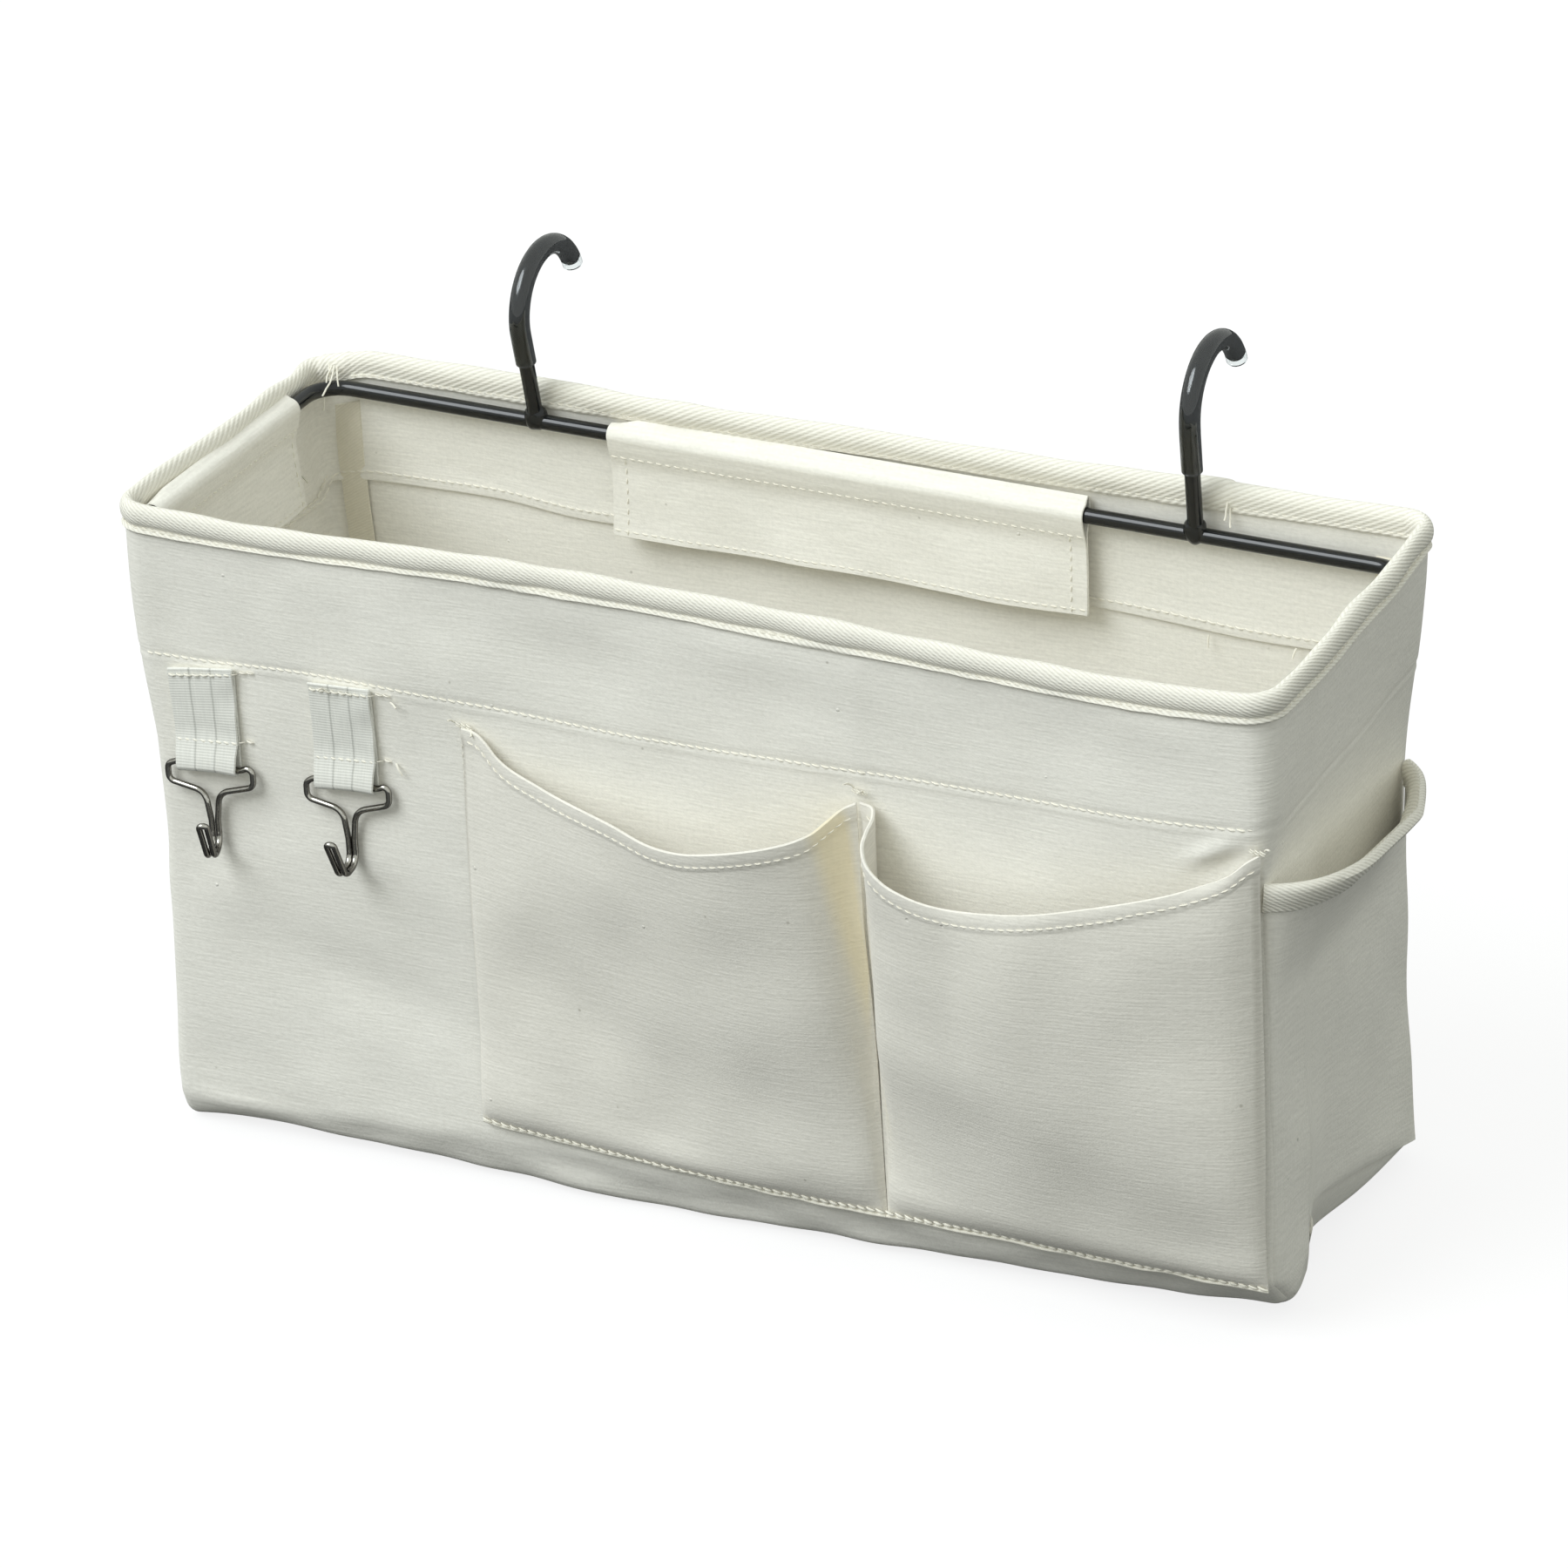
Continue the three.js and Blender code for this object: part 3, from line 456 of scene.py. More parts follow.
def front_dents(x, z):
    """How far the front stands out at a place: broad hills and hollows, soft waves, a press crease and a pucker."""
    d = 0.8 * swell(x, 1.4 * z, 120, 3) + 0.2 * swell(x, z, 40, 5)
    d += 1.2 * hill(x, z, (-150, 92), (30, 12), 40) - 1.1 * hill(x, z, (-118, 58), (40, 12), -14)
    d += 0.7 * hill(x, z, (-150, 36), (30, 14), 10) - 0.9 * hill(x, z, (-150, 112), (18, 26), 0)
    d -= 1.1 * hill(x, z, (-60, 186), (40, 12), -6) + 1.0 * hill(x, z, (40, 182), (34, 10), -10)
    d -= 1.0 * hill(x, z, (120, 188), (38, 12), -4)
    d *= 1 - 0.9 * hill(x, z, (-140, 132), (44, 26))
    d += 0.6 * np.exp(-np.abs(x - 60) / 1.3) * ease(z, 150, 156) * ease(z, 206, 196)
    pucker = hill(x, z, (172, 158), (9, 2.6), 38) - 0.9 * hill(x, z, (176, 154), (9, 2.4), 34)
    return d + 1.7 * pucker


def side_crease(y):
    """The height below which the right wall is tucked under: 0 at its corners, 12 at -36 mm, 24 just behind that."""
    return np.interp(y, [-64, -36, -32, 56, 64], [0, 12, 24, 1.5, 0])


def hem_height(x, y):
    """Where the facing inside ends, in mm: a curve along the front and one along the rear, and 162 on the sides."""
    front = through(x, [-190, -166, -127, -77, -24, 35, 92, 148, 190],
                    [158.2, 158.8, 161.2, 159.8, 157.9, 159.6, 161.3, 162.8, 164.6])
    rear = through(x, [-190, -151, -124, -97, -84, 0, 106, 130, 190],
                   [169.4, 170.1, 170.3, 168, 167.9, 167, 164.8, 163.6, 164])
    middle = 162 + 0.8 * swell(x, y, 70, 21)
    return middle + (front - middle) * ease(y, -50, -60) + (rear - middle) * ease(y, 50, 60)


def sag(points):
    """Moves points of the straight bag to where the cloth hangs. Each wall's offsets fade out away from it."""
    p = np.array(points, float)
    x, y, z = p[..., 0].copy(), p[..., 1].copy(), p[..., 2].copy()
    front, rear = ease(y, -20, -52), ease(y, 20, 52)
    right_side, left_side = ease(x, 150, 180), ease(x, -150, -180)
    top, over_rod = ease(z, 140, 203), ease(z, 200, 208)
    # The facing inside shows as a low step, and its stitches pull the wall in
    hem = hem_height(x, y)
    drawn_in = 0.35 * np.exp(-(((z - hem - 2.3) / 1.2) ** 2)) - 0.3 * ease(z, hem - 1, hem + 0.6) * ease(z, 204, 190)
    share = np.clip((y + HALF_DEPTH) / (2 * HALF_DEPTH), 0, 1)
    # The right wall: proud of the front seam, drawn in low down at the rear, out again at the rim
    near_front = through(z, [0, 12, 100, 150, 203, 214], [1.6, 1.8, 2.0, 1.8, 0.8, 0.8])
    near_rear = through(z, [0, 21, 61, 91, 133, 163, 184, 202, 214], [0, -1.9, -2.2, -2.4, -2.0, -0.4, 1.0, 1.8, 1.8])
    out = near_front * (1 - share) + near_rear * share
    out += 1.6 * np.exp(-(((y + 31) / 9) ** 2)) * ease(z, 150, 110)
    # Its foot is tucked under along a slanting crease
    crease = side_crease(y)
    dent = 1.2 * np.exp(-np.abs(z - crease) / 1.8) * np.clip(crease / 4 - 0.5, 0, 1) * ease(y, -38, -33)
    out -= 0.38 * np.maximum(0, crease - z) + dent
    out += 0.4 * swell(y, z, 55, 11) - drawn_in
    p[..., 0] += right_side * out
    # The left wall, whose rim sinks in between its corners
    draw = through(z, [0, 11, 34, 65, 80, 96, 127, 157, 174, 203, 214],
                   [-4.4, -4.4, -2.6, -2.0, -2.0, -0.4, -0.4, -2.4, -2.2, -0.9, -0.9])
    p[..., 0] += left_side * (draw + 0.4 * swell(y, z, 55, 12) + drawn_in)
    sunk = hill(y, 0, (12, 0), (42, 1)) * ease(y, 62, 46) * ease(y, -62, -46)
    p[..., 0] += left_side * over_rod * 2.6 * sunk
    # The front: dents, a foot that rolls under more towards the right, and a rim that hangs out and down there
    roll_under = through(x, [-190, -173, -126, -75, -40, 11, 85, 154, 188],
                         [2.4, 4.6, 4.8, 5.2, 5.4, 5.5, 7.5, 11.5, 14])
    foot_out = 1.2 * hill(x, 0, (-40, 0), (75, 1)) * ease(z, 60, 15)
    rim_out = through(x, [-192, -164, -53, 40, 110, 150, 175, 195], [0, 0.6, 0.2, 1.2, 2.8, 3.2, 2.0, 0.2])
    rim_down = through(x, [-195, -164, -53, 40, 110, 150, 195], [-1.0, -1.8, 0.2, -1.0, -3.0, -3.6, -3.0])
    fade = ease(np.abs(x), 190, 172)
    p[..., 1] -= front * fade * (front_dents(x, z) * ease(z, 4, 20) * ease(z, 208, 196) + foot_out)
    roll_height = np.interp(x, [-190, -126, -70], [6.5, 7.5, 12])
    gathers = 0.5 * swell(x, 2 * z, 26, 8) * ease(z, 12.5, 7) * fade
    rolled = roll_under * np.clip(1 - z / roll_height, 0, 1)
    p[..., 1] += front * (rolled - rim_out * ease(z, 80, 206) + drawn_in * fade - gathers)
    # The rear: soft waves, and a rim that leans in over the rod
    rim_in = through(x, [-192, -180, -140, -98, -80, -40, 0, 80, 108, 170, 192],
                     [0, 0, 0.4, 0.4, 2.4, 3, 2.2, 2, 0.4, 0.2, 0])
    p[..., 1] -= rear * over_rod * rim_in
    p[..., 1] += rear * ((1 - top) * 0.9 * swell(x, z, 90, 17) * fade * ease(z, 4, 30) - drawn_in * fade)
    # Heights: the front rim dips at the right, the left rim sinks, and the base hangs lower, most along the front
    p[..., 2] += top * (rim_down * (1 - share) - 0.8 * left_side * sunk) + 2.2 * rear * ease(z, 172, 203)
    p[..., 2] -= 4.6 * top * ease(x, -168, -188) * ease(y, 22, 50)
    edge_drop = through(x, [-192, -173, -126, -75, -40, 11, 85, 154, 192],
                        [7.0, 5.6, 4.4, 5.4, 6.4, 5.6, 4.6, 4.0, 2.0])
    middle = np.clip(1 - np.abs(y) / 60, 0, 1) ** 0.5 * np.clip(1 - np.abs(x) / 186, 0, 1) ** 0.5
    drop = edge_drop * (1 - share) + 1.2 * share
    drop += (4.6 - drop) * middle
    drop -= 4.5 * right_side * hill(y, 0, (-12, 0), (26, 1))
    p[..., 2] -= drop * np.clip(1 - z / 14, 0, 1)
    return p


places = np.array([(-128.0, 82), (-120, 52), (0, 100), (120, 188)])
print("front stands out by, mm:", np.round(front_dents(*places.T), 2))

# %% [markdown]
# ## The bag
# Walls and base are one shell here: a profile that starts in the middle of the base, runs out and
# turns up the wall, goes over the raw edge and comes back down inside, carried round a rounded
# rectangle. The first and last row close to a slit, which the merge in `mesh_from` seals.

# %% Round the bag
def round_the_bag(z, inset, long_steps=124, short_steps=40, corner_steps=6):
    """Rounded rectangles, one for each height z, set in by inset. Returns points (rows, columns, 3).
    A flat runs along its wall at its distance out. A corner turns a quarter circle from one wall's
    outward direction to the next wall's."""
    z, inset = np.broadcast_arrays(np.asarray(z, float), np.asarray(inset, float))
    z, inset = z[:, None], inset[:, None]
    radius = np.maximum(corner_radius(z) - inset, 0.05)
    reach_x, reach_y = half_length(z) - inset, HALF_DEPTH - inset
    pieces = []
    for wall, steps in enumerate((long_steps, short_steps) * 2):
        out = np.array([(0, -1), (1, 0), (0, 1), (-1, 0)][wall], float)
        along = np.array([(1, 0), (0, 1), (-1, 0), (0, -1)][wall], float)
        run, away = ((reach_x, reach_y) if wall % 2 == 0 else (reach_y, reach_x))
        t = np.linspace(-1, 1, steps + 1)[None, :]
        flat = away[..., None] * out + ((run - radius) * t)[..., None] * along
        angle = np.linspace(0, math.pi / 2, corner_steps + 1)[None, 1:-1, None]
        centre = (away - radius)[..., None] * out + (run - radius)[..., None] * along
        bend = centre + radius[..., None] * (np.cos(angle) * out + np.sin(angle) * along)
        pieces += [flat, bend]
    plan = np.concatenate(pieces, axis=1)
    return np.concatenate([plan, np.broadcast_to(z[..., None], plan.shape[:2] + (1,))], axis=2)


WALL_ROWS = np.concatenate([
    np.arange(4.6, 30, 1.9), np.linspace(31, 154, 42), np.arange(155.5, 174, 1.0), np.linspace(176, 210, 13)])


def bag_profile(fold=3.2, cloth=1.0):
    """(inset, height) from the middle of the base out, up the wall, and back inside."""
    angle = np.linspace(0, math.pi / 2, 6)
    inset = [61.9, 54, 46, 38, 30, 22, 15, 9, 5]
    outer = [(i, 0) for i in inset] + [(fold - fold * math.sin(a), fold - fold * math.cos(a)) for a in angle]
    outer += [(0, h) for h in WALL_ROWS]
    small = fold - cloth
    inner = [(cloth, h) for h in WALL_ROWS[::-1]]
    inner += [(fold - small * math.sin(a), fold - small * math.cos(a)) for a in angle[::-1]]
    inner += [(i, cloth) for i in inset[::-1]]
    return np.array(outer + inner)


profile = bag_profile()
shell = round_the_bag(profile[:, 1], profile[:, 0], 130, 64, 6)
shell[0, :, 1] = shell[-1, :, 1] = 0
shell_uv = cloth_map(run_along(shell[60], closed=True), run_along(profile))
bag_shell = quilt("canvas_bag", sag(shell), shell_uv, around=True)
dress(bag_shell, canvas,
      ("front_panel", "rear_panel", "left_side_panel", "right_side_panel", "base_panel"))

# %% [markdown]
# The facings are one band inside the rim, 45 mm deep. Their lower edge isn't sewn straight: it wanders a
# little and lifts off the wall, which is what shows it from inside. The band is drawn like the bag, as a
# profile that runs down outside, round the fold and back up inside, and then its lower rows are moved.

# %% Facings
def facing_profile(bottom=165, top=209.4, outer=1.3, inner=2.1):
    """(inset, height) up the side at the wall, and down inside to a fold that lifts 0.5 mm."""
    heights = np.linspace(bottom, top, 14)
    near = [(outer, h) for h in heights]
    far = [(inner + 0.5 * max(0, 1 - (h - bottom) / 8) ** 2, h) for h in heights[::-1]]
    return np.array(near + far + [(inner + 0.25, bottom - 0.55), (outer + 0.2, bottom - 0.4)])


profile = facing_profile()
facing = round_the_bag(profile[:, 1], profile[:, 0])
lower = np.clip((209 - facing[..., 2]) / 44, 0, 1) ** 1.5
facing[..., 2] += (hem_height(facing[..., 0], facing[..., 1]) - 165) * lower
down_cloth = run_along(profile)
down_cloth = np.append(down_cloth, down_cloth[-1] + 1)
facing_uv = cloth_map(run_along(facing[5], closed=True) + 37, down_cloth)
facing_band = quilt("rim_facing", sag(facing), facing_uv, around=True, over=True)
dress(facing_band, canvas, ("front_facing", "right_facing", "rear_facing", "left_facing"))

# %% [markdown]
# Twill tape is folded over the rim: a fat roll on top, a groove where it is sewn through, and a thin lip
# below it that waves between the stitches. The tape is woven in a herringbone, and its middle lies on top.

# %% Rim tape
def normals_of(grid, around=False):
    """Unit normals: the step along the columns crossed with the step up the rows."""
    along = np.roll(grid, -1, 1) - np.roll(grid, 1, 1) if around else np.gradient(grid, axis=1)
    return unit(np.cross(along, np.gradient(grid, axis=0)))


def rim_profile():
    """(inset, height): a thin lip outside, an egg-shaped roll 5 mm thick, a flat band inside, and back between."""
    angle = np.radians(np.linspace(-58, 200, 17))
    tall = np.where(np.sin(angle) > 0, 4.0, 3.6)
    roll = np.stack([1.05 - 2.5 * np.cos(angle), RIM - 4.0 + tall * np.sin(angle)], 1)
    lip = np.array([(-0.15, -9.1), (-0.9, -9.0), (-1.2, -8.6), (-1.0, -8.1), (-0.6, -7.8), (-0.35, -7.5)]) + (0, RIM)
    band = np.array([
        (3.35, -6.2), (3.2, -7.0), (3.1, -7.7), (3.3, -8.2), (3.3, -8.7), (3.0, -9.1), (2.3, -9.2)]) + (0, RIM)
    hidden = np.array([(2.14, RIM - 8.8), (2.14, RIM - 2.1), (-0.04, RIM - 2.1), (-0.04, RIM - 8.8)])
    return np.concatenate([lip, roll, band, hidden])


profile = rim_profile()
rim = round_the_bag(profile[:, 1], profile[:, 0], long_steps=400, short_steps=120, corner_steps=16)
across = run_along(profile)
across = np.append(across, across[-1] + 2)
rim_uv = cloth_map(run_along(rim[12], closed=True), across)
on_roll = ease(rim[..., 2], RIM - 8.6, RIM - 7.2) * (np.arange(len(profile)) < len(profile) - 5)[:, None]
on_lip = ease(rim[..., 2], RIM - 7.6, RIM - 9)
along_tape, across_tape = rim_uv[:-1, :-1, 0], rim_uv[:-1, :-1, 1]
lump = 0.22 * swell(along_tape, across_tape, 26, 31) * on_roll
# The tape's ends lap over each other on the rear, 14 mm long, and in the left rear corner
x, y = rim[..., 0], rim[..., 1]
lapped = ease(x, 114, 115.5) * ease(x, 128.6, 127.8) + ease(x, -187, -186) * ease(x, -176, -177)
rim += normals_of(rim, around=True) * (lump + 0.55 * lapped * (y > 50) * on_roll)[..., None]
rim[..., 2] += on_lip * (0.12 * swell(along_tape, 0, 14, 33) + 0.3 * swell(along_tape, 0, 90, 34))
rim_tape = quilt("rim_tape", sag(rim), rim_uv, around=True, over=True)
dress(rim_tape, twill, ("rim_binding",))

# %% [markdown]
# Cloth with two free faces starts as one grid, its outer face. The other face lies one thickness behind
# along the normals, and one extra row and column on each side, halfway through and a little further out,
# rounds the edge. The whole of it is a single grid again, so it closes by itself.

# %% A closed sheet of cloth
def cloth_sheet(name, grid, uv, outer=0.0, inner=1.0):
    """The face grid (rows, columns, 3) made a closed sheet: outer mm out and inner mm behind along the normals."""
    normal = normals_of(grid)
    outer, inner = (np.broadcast_to(np.asarray(v, float), grid.shape[:2])[..., None] for v in (outer, inner))
    middle = grid + normal * (outer - inner) / 2
    past = 0.35 * (outer + inner)

    def beyond(edge, before, reach):
        return edge + unit(edge - before) * reach

    top = beyond(middle[-1], middle[-2], past[-1])[None]
    bottom = beyond(middle[0], middle[1], past[0])[None]
    body = np.concatenate([grid + normal * outer, top, (grid - normal * inner)[::-1], bottom])
    halfway = np.concatenate([middle, top, middle[::-1], bottom])
    reach = np.concatenate([past, past[-1:], past[::-1], past[:1]])
    left = beyond(halfway[:, 0], halfway[:, 1], reach[:, 0])[:, None]
    right = beyond(halfway[:, -1], halfway[:, -2], reach[:, -1])[:, None]
    uv = np.concatenate([uv[:, :1], uv, uv[:, -1:]], axis=1)
    uv = np.concatenate([uv, uv[-1:], uv[::-1], uv[:1], uv[:1]])
    return quilt(name, np.concatenate([left, body, right], axis=1), uv, over=True)


def flat_uv(grid, offset=(0, 0)):
    """Cloth coordinates: the distance along the middle row, and up the middle column."""
    along, upward = run_along(grid[len(grid) // 2]), run_along(grid[:, grid.shape[1] // 2])
    return cloth_map(along + offset[0], upward + offset[1])

# %% [markdown]
# Inside, each corner seam is covered by a strip of tape, 9 mm wide, that lies on the front or rear wall.
# It is slightly yellower than the canvas and not quite flat.

# %% Seam tapes
def seam_tape(name, at_right, at_rear):
    """A strip on the front or rear wall from the corner inward: across is 0.2 to 9 mm, up is 5.6 to 195.4 mm."""
    up, strip = np.meshgrid(np.linspace(5.6, 195.4, 70), np.linspace(0.2, 9, 7), indexing="ij")
    x = half_length(up) - corner_radius(up) - 0.4 - strip
    y = HALF_DEPTH - 2.45 - 0.35 * np.sin(strip / 9 * math.pi) - 0.15 * swell(strip, up, 22, 41)
    side = 1 if at_right else -1
    grid = np.stack([side * x, (1 if at_rear else -1) * y, up], -1)
    if at_right == at_rear:
        grid = grid[:, ::-1]
    piece = cloth_sheet(name, sag(grid), flat_uv(grid, (60 * at_right, 90 * at_rear)), 0.0, 0.75)
    return dress(piece, plain_tape, (name.replace("_cloth", ""),))


for at_right in (False, True):
    for at_rear in (False, True):
        place = ("rear_" if at_rear else "front_") + ("right" if at_right else "left")
        seam_tape(place + "_seam_tape_cloth", at_right, at_rear)

# %% [markdown]
# ## The frame
# One steel rod is bent to the shape of the rim, and two more are welded on and bent into the hooks that
# go over a rail. Rods are round, so a circle carried along a path is all they need. A path is given by its
# corners, and each corner is rounded to the bend radius first.

# %% Rods
def rounded(corners, radius, steps=10, closed=False):
    """Replaces each corner of a path by an arc that touches both its sides, radius / tan(half the angle) away."""
    corners = np.asarray(corners, float)
    radii = np.broadcast_to(radius, len(corners))
    out = []
    for i, corner in enumerate(corners):
        if not closed and i in (0, len(corners) - 1):
            out.append(corner[None])
            continue
        back_way, on_way = unit(corners[i - 1] - corner), unit(corners[(i + 1) % len(corners)] - corner)
        half = math.acos(np.clip(back_way @ on_way, -1, 1)) / 2
        cut = radii[i] / math.tan(half)
        centre = corner + unit(back_way + on_way) * radii[i] / math.sin(half)
        start, end = corner + back_way * cut - centre, corner + on_way * cut - centre
        sweep = math.pi - 2 * half
        t = np.linspace(0, 1, steps + 1)[:, None]
        out.append(centre + (np.sin((1 - t) * sweep) * start + np.sin(t * sweep) * end) / math.sin(sweep))
    return np.concatenate(out)


def even(path, step, closed=False):
    """The same path with points every step mm or a little less."""
    path = np.concatenate([path, path[:1]]) if closed else path
    run = run_along(path)
    count = max(2, int(math.ceil(run[-1] / step)))
    at = np.linspace(0, run[-1], count + 1)
    points = points_at(at, run, path)
    return points[:-1] if closed else points


def tube_grid(path, radius, reference, sides=16, closed=False):
    """Circles across a path: radius (cos a · side + sin a · up), where side is the reference direction made
    square to the path, and up is square to both."""
    path = np.asarray(path, float)
    ahead = unit(np.roll(path, -1, 0) - np.roll(path, 1, 0) if closed else np.gradient(path, axis=0))
    side = np.broadcast_to(np.asarray(reference, float), path.shape)
    side = unit(side - ahead * np.sum(side * ahead, axis=1, keepdims=True))
    up_way = np.cross(ahead, side)
    angle = np.linspace(0, 2 * math.pi, sides, endpoint=False)
    ring = side[:, None] * np.cos(angle)[None, :, None] + up_way[:, None] * np.sin(angle)[None, :, None]
    return path[:, None] + np.broadcast_to(radius, len(path))[:, None, None] * ring


def make_tube(name, path, radius, reference, sides=16, closed=False):
    """A tube as a closed mesh. Its cloth coordinates run round it and along it."""
    grid = tube_grid(path, radius, reference, sides, closed)
    uv = cloth_map(np.linspace(0, 2 * math.pi * float(np.mean(radius)), sides + 1), run_along(path, closed))
    return quilt(name, grid, uv, around=True, over=closed, caps=not closed)


ROD, FRAME_HEIGHT, FRAME_X, FRAME_Y = 2.5, 199.0, 185.74, 56.05


def settle(points):
    """The frame doesn't lie quite level in its sleeves: it drops by 0.017 mm per mm of x, fading out up the hooks."""
    p = np.array(points, float)
    p[..., 2] -= 0.017 * (p[..., 0] - 16) * ease(p[..., 2], 244, 206)
    return p


ring_corners = [(sx * FRAME_X, sy * FRAME_Y, FRAME_HEIGHT) for sx, sy in ((-1, -1), (1, -1), (1, 1), (-1, 1))]
ring_path = settle(even(rounded(ring_corners, [8.5, 16, 8.5, 11], 16, closed=True), 2.5, closed=True))
frame_rod = make_tube("frame_rod", ring_path, ROD, (0, 0, 1), sides=20, closed=True)
dress(frame_rod, black_coat, ("frame_ring",))

# %% [markdown]
# A hanging hook leans in from the frame, then turns over in an arc of 19 mm. Its foot is fused to the frame
# by a weld that the coating has made round and glossy: here a lumpy shell over both rods. Over the hook
# goes a clear tube, which is two tube surfaces, one inside the other, joined at the ends. It grips the rod,
# so no air is drawn between them: that is why the rod looks as thick as the tube.

# %% Hanging hooks
HOOK_FEET = {"left": -108.0, "right": 118.0}
LEAN, RISE, TURN, SWEEP = math.radians(10.8), 34.5, 19.0, math.radians(168)
TUBE_OUTER, TUBE_INNER = 3.3, 2.42  # the inner radius lies within the rod, which is 2.5


def hook_line(start=0.0, past=0.0):
    """From the frame's axis, a point each mm: straight for RISE mm at LEAN from upright, then round an arc of
    radius TURN."""
    run = np.arange(start, RISE + TURN * SWEEP + past + 0.5)
    straight, turned = np.minimum(run, RISE), np.maximum(run - RISE, 0) / TURN
    y = -straight * math.sin(LEAN) + TURN * (math.cos(LEAN) - np.cos(LEAN - turned))
    z = straight * math.cos(LEAN) + TURN * (math.sin(LEAN) - np.sin(LEAN - turned))
    return np.stack([0 * y, y, z], 1)


def make_hook(side):
    """The rod, with its end rounded off, and the weld at its foot."""
    foot = np.array([HOOK_FEET[side], FRAME_Y, FRAME_HEIGHT])

    def lean(points):
        """The right hook is welded on askew: it stands 1.8 mm further right from 36 mm up."""
        askew = 1.8 if side == "right" else 0
        return points + np.clip((points[:, 2:] - FRAME_HEIGHT) / 36, 0, 1) * (askew, 0, 0)

    path = settle(lean(hook_line() + foot))
    from_end = np.linspace(len(path) - 1, 0, len(path))
    radius = ROD * np.sqrt(np.clip(1 - np.maximum(0, 1 - from_end / 1.6) ** 2, 0.08, 1))
    rod = make_tube(f"{side}_hook_rod", path, radius, (1, 0, 0), sides=18)
    dress(rod, black_coat, (f"{side}_hanger_hook",))
    # The weld: a ball about the foot, longer along the frame, with seeded lumps
    around, upward = np.meshgrid(np.linspace(0, 2 * math.pi, 28, endpoint=False), np.linspace(0, math.pi, 15))
    ball = np.stack([np.cos(around) * np.sin(upward), np.sin(around) * np.sin(upward), -np.cos(upward)], -1)
    lumps = 1 + 0.04 * swell(ball[..., 0] * 10 + HOOK_FEET[side], ball[..., 2] * 10 + 9 * ball[..., 1], 11, 51)
    size = np.array([3.9, 3.0, 4.6])
    grid = settle(ball * lumps[..., None] * size + foot + (0, -0.4, 1.6))
    uv = cloth_map(np.linspace(0, 22, 29), np.linspace(0, 12, 15))
    weld = quilt(f"{side}_hook_weld", grid, uv, around=True)
    dress(weld, black_coat)
    # The clear tube
    path = settle(lean(hook_line(start=23.0, past=1.2) + foot))
    outer, inner = (tube_grid(path, radius, (1, 0, 0), 24) for radius in (TUBE_OUTER, TUBE_INNER))
    both = np.concatenate([outer, inner[::-1]])
    uv = cloth_map(np.linspace(0, 22, 25), np.linspace(0, 2 * len(path), len(both) + 1))
    tube = quilt(f"{side}_hook_tube", both, uv, around=True, over=True)
    return dress(tube, clear_pvc, (f"{side}_hanger_tube",))


for side in HOOK_FEET:
    make_hook(side)

# %% [markdown]
# Four strips of canvas hold the bag to the rod. Each is folded over it, sewn through close below it, and
# its two layers hang down together as a flap. So a strip is one sheet whose path goes up the flap, over
# the rod and down again. The flaps hang free and wave a little more towards their lower edge.

# %% Frame sleeves
def sleeve_path(drop=33.6, turn_radius=3.2, layer=0.38):
    """(inward, up) from the rod's axis along the strip: up the inner layer, round the rod, down the outer one."""
    heights = np.linspace(-drop, -3.2, 18)
    front = [(layer + 2.35 * ease(h, -13, -2.0) ** 1.3, h) for h in heights]
    angle = np.radians(np.linspace(-22, 238, 24))
    over_rod = [(turn_radius * math.cos(a), turn_radius * math.sin(a)) for a in angle]
    return np.array(front + over_rod + [(-layer, h) for h in np.linspace(-7, -drop, 12)])


def make_sleeve(side, length, outward, along, distance, shift=0.0, loose=0.0):
    """The strip's path carried along a straight piece of the frame. outward and along are unit directions. shift
    moves the strip along, and loose lifts its outer face off the rod, except at its far end."""
    path = sleeve_path()
    t = np.linspace(-0.5, 0.5, 65) * length + shift
    path_at, run = np.meshgrid(np.arange(len(path)), t, indexing="ij")
    inward, height = path[path_at, 0], path[path_at, 1]
    down = np.clip(-(height + 5) / 29, 0, 1)
    wave = down * (1.0 * swell(run, height, 75, 60 + int(length)) + 0.25 * swell(run, height, 24, 61))
    inward = inward + wave + 1.6 * down ** 2
    before_end = ease(run - shift, length / 2, length / 2 - 12)
    height = height + loose * ease(inward, 0.6, -2.2) * ease(height, -1, 1.5) * before_end
    height = height + down * 0.6 * swell(run, 0, 90, 63)
    place = -inward[..., None] * outward + run[..., None] * along + distance * outward
    grid = place + np.array([0, 0, FRAME_HEIGHT]) + height[..., None] * np.array([0, 0, 1.0])
    grid = settle(grid)
    piece = cloth_sheet(f"{side}_sleeve_cloth", grid, flat_uv(grid, (length, 12)), 0.33, 0.33)
    dress(piece, canvas, (f"{side}_frame_sleeve",))
    return grid


SIDES = {
    "front": (163, np.array([0, -1.0, 0]), np.array([1.0, 0, 0]), FRAME_Y),
    "right": (78, np.array([1.0, 0, 0]), np.array([0, 1.0, 0]), FRAME_X),
    "rear": (163, np.array([0, 1.0, 0]), np.array([-1.0, 0, 0]), FRAME_Y, 0.0, 3.0),
    "left": (86, np.array([-1.0, 0, 0]), np.array([0, -1.0, 0]), FRAME_X, 7.4, 1.4),
}
sleeves = {side: make_sleeve(side, *facts) for side, facts in SIDES.items()}

# %% [markdown]
# ## Pockets
# The two front pockets are bellows pockets: the cloth is wider at the mouth than at the foot, and the
# spare width is folded at the middle seam. The mouth is a curve in space. It is given by a few points,
# a smooth curve goes through them, and the cloth hangs from it down to the seam at its foot. How far
# a point stands out grows with height to the power 1.15, so the pocket is almost a cone.

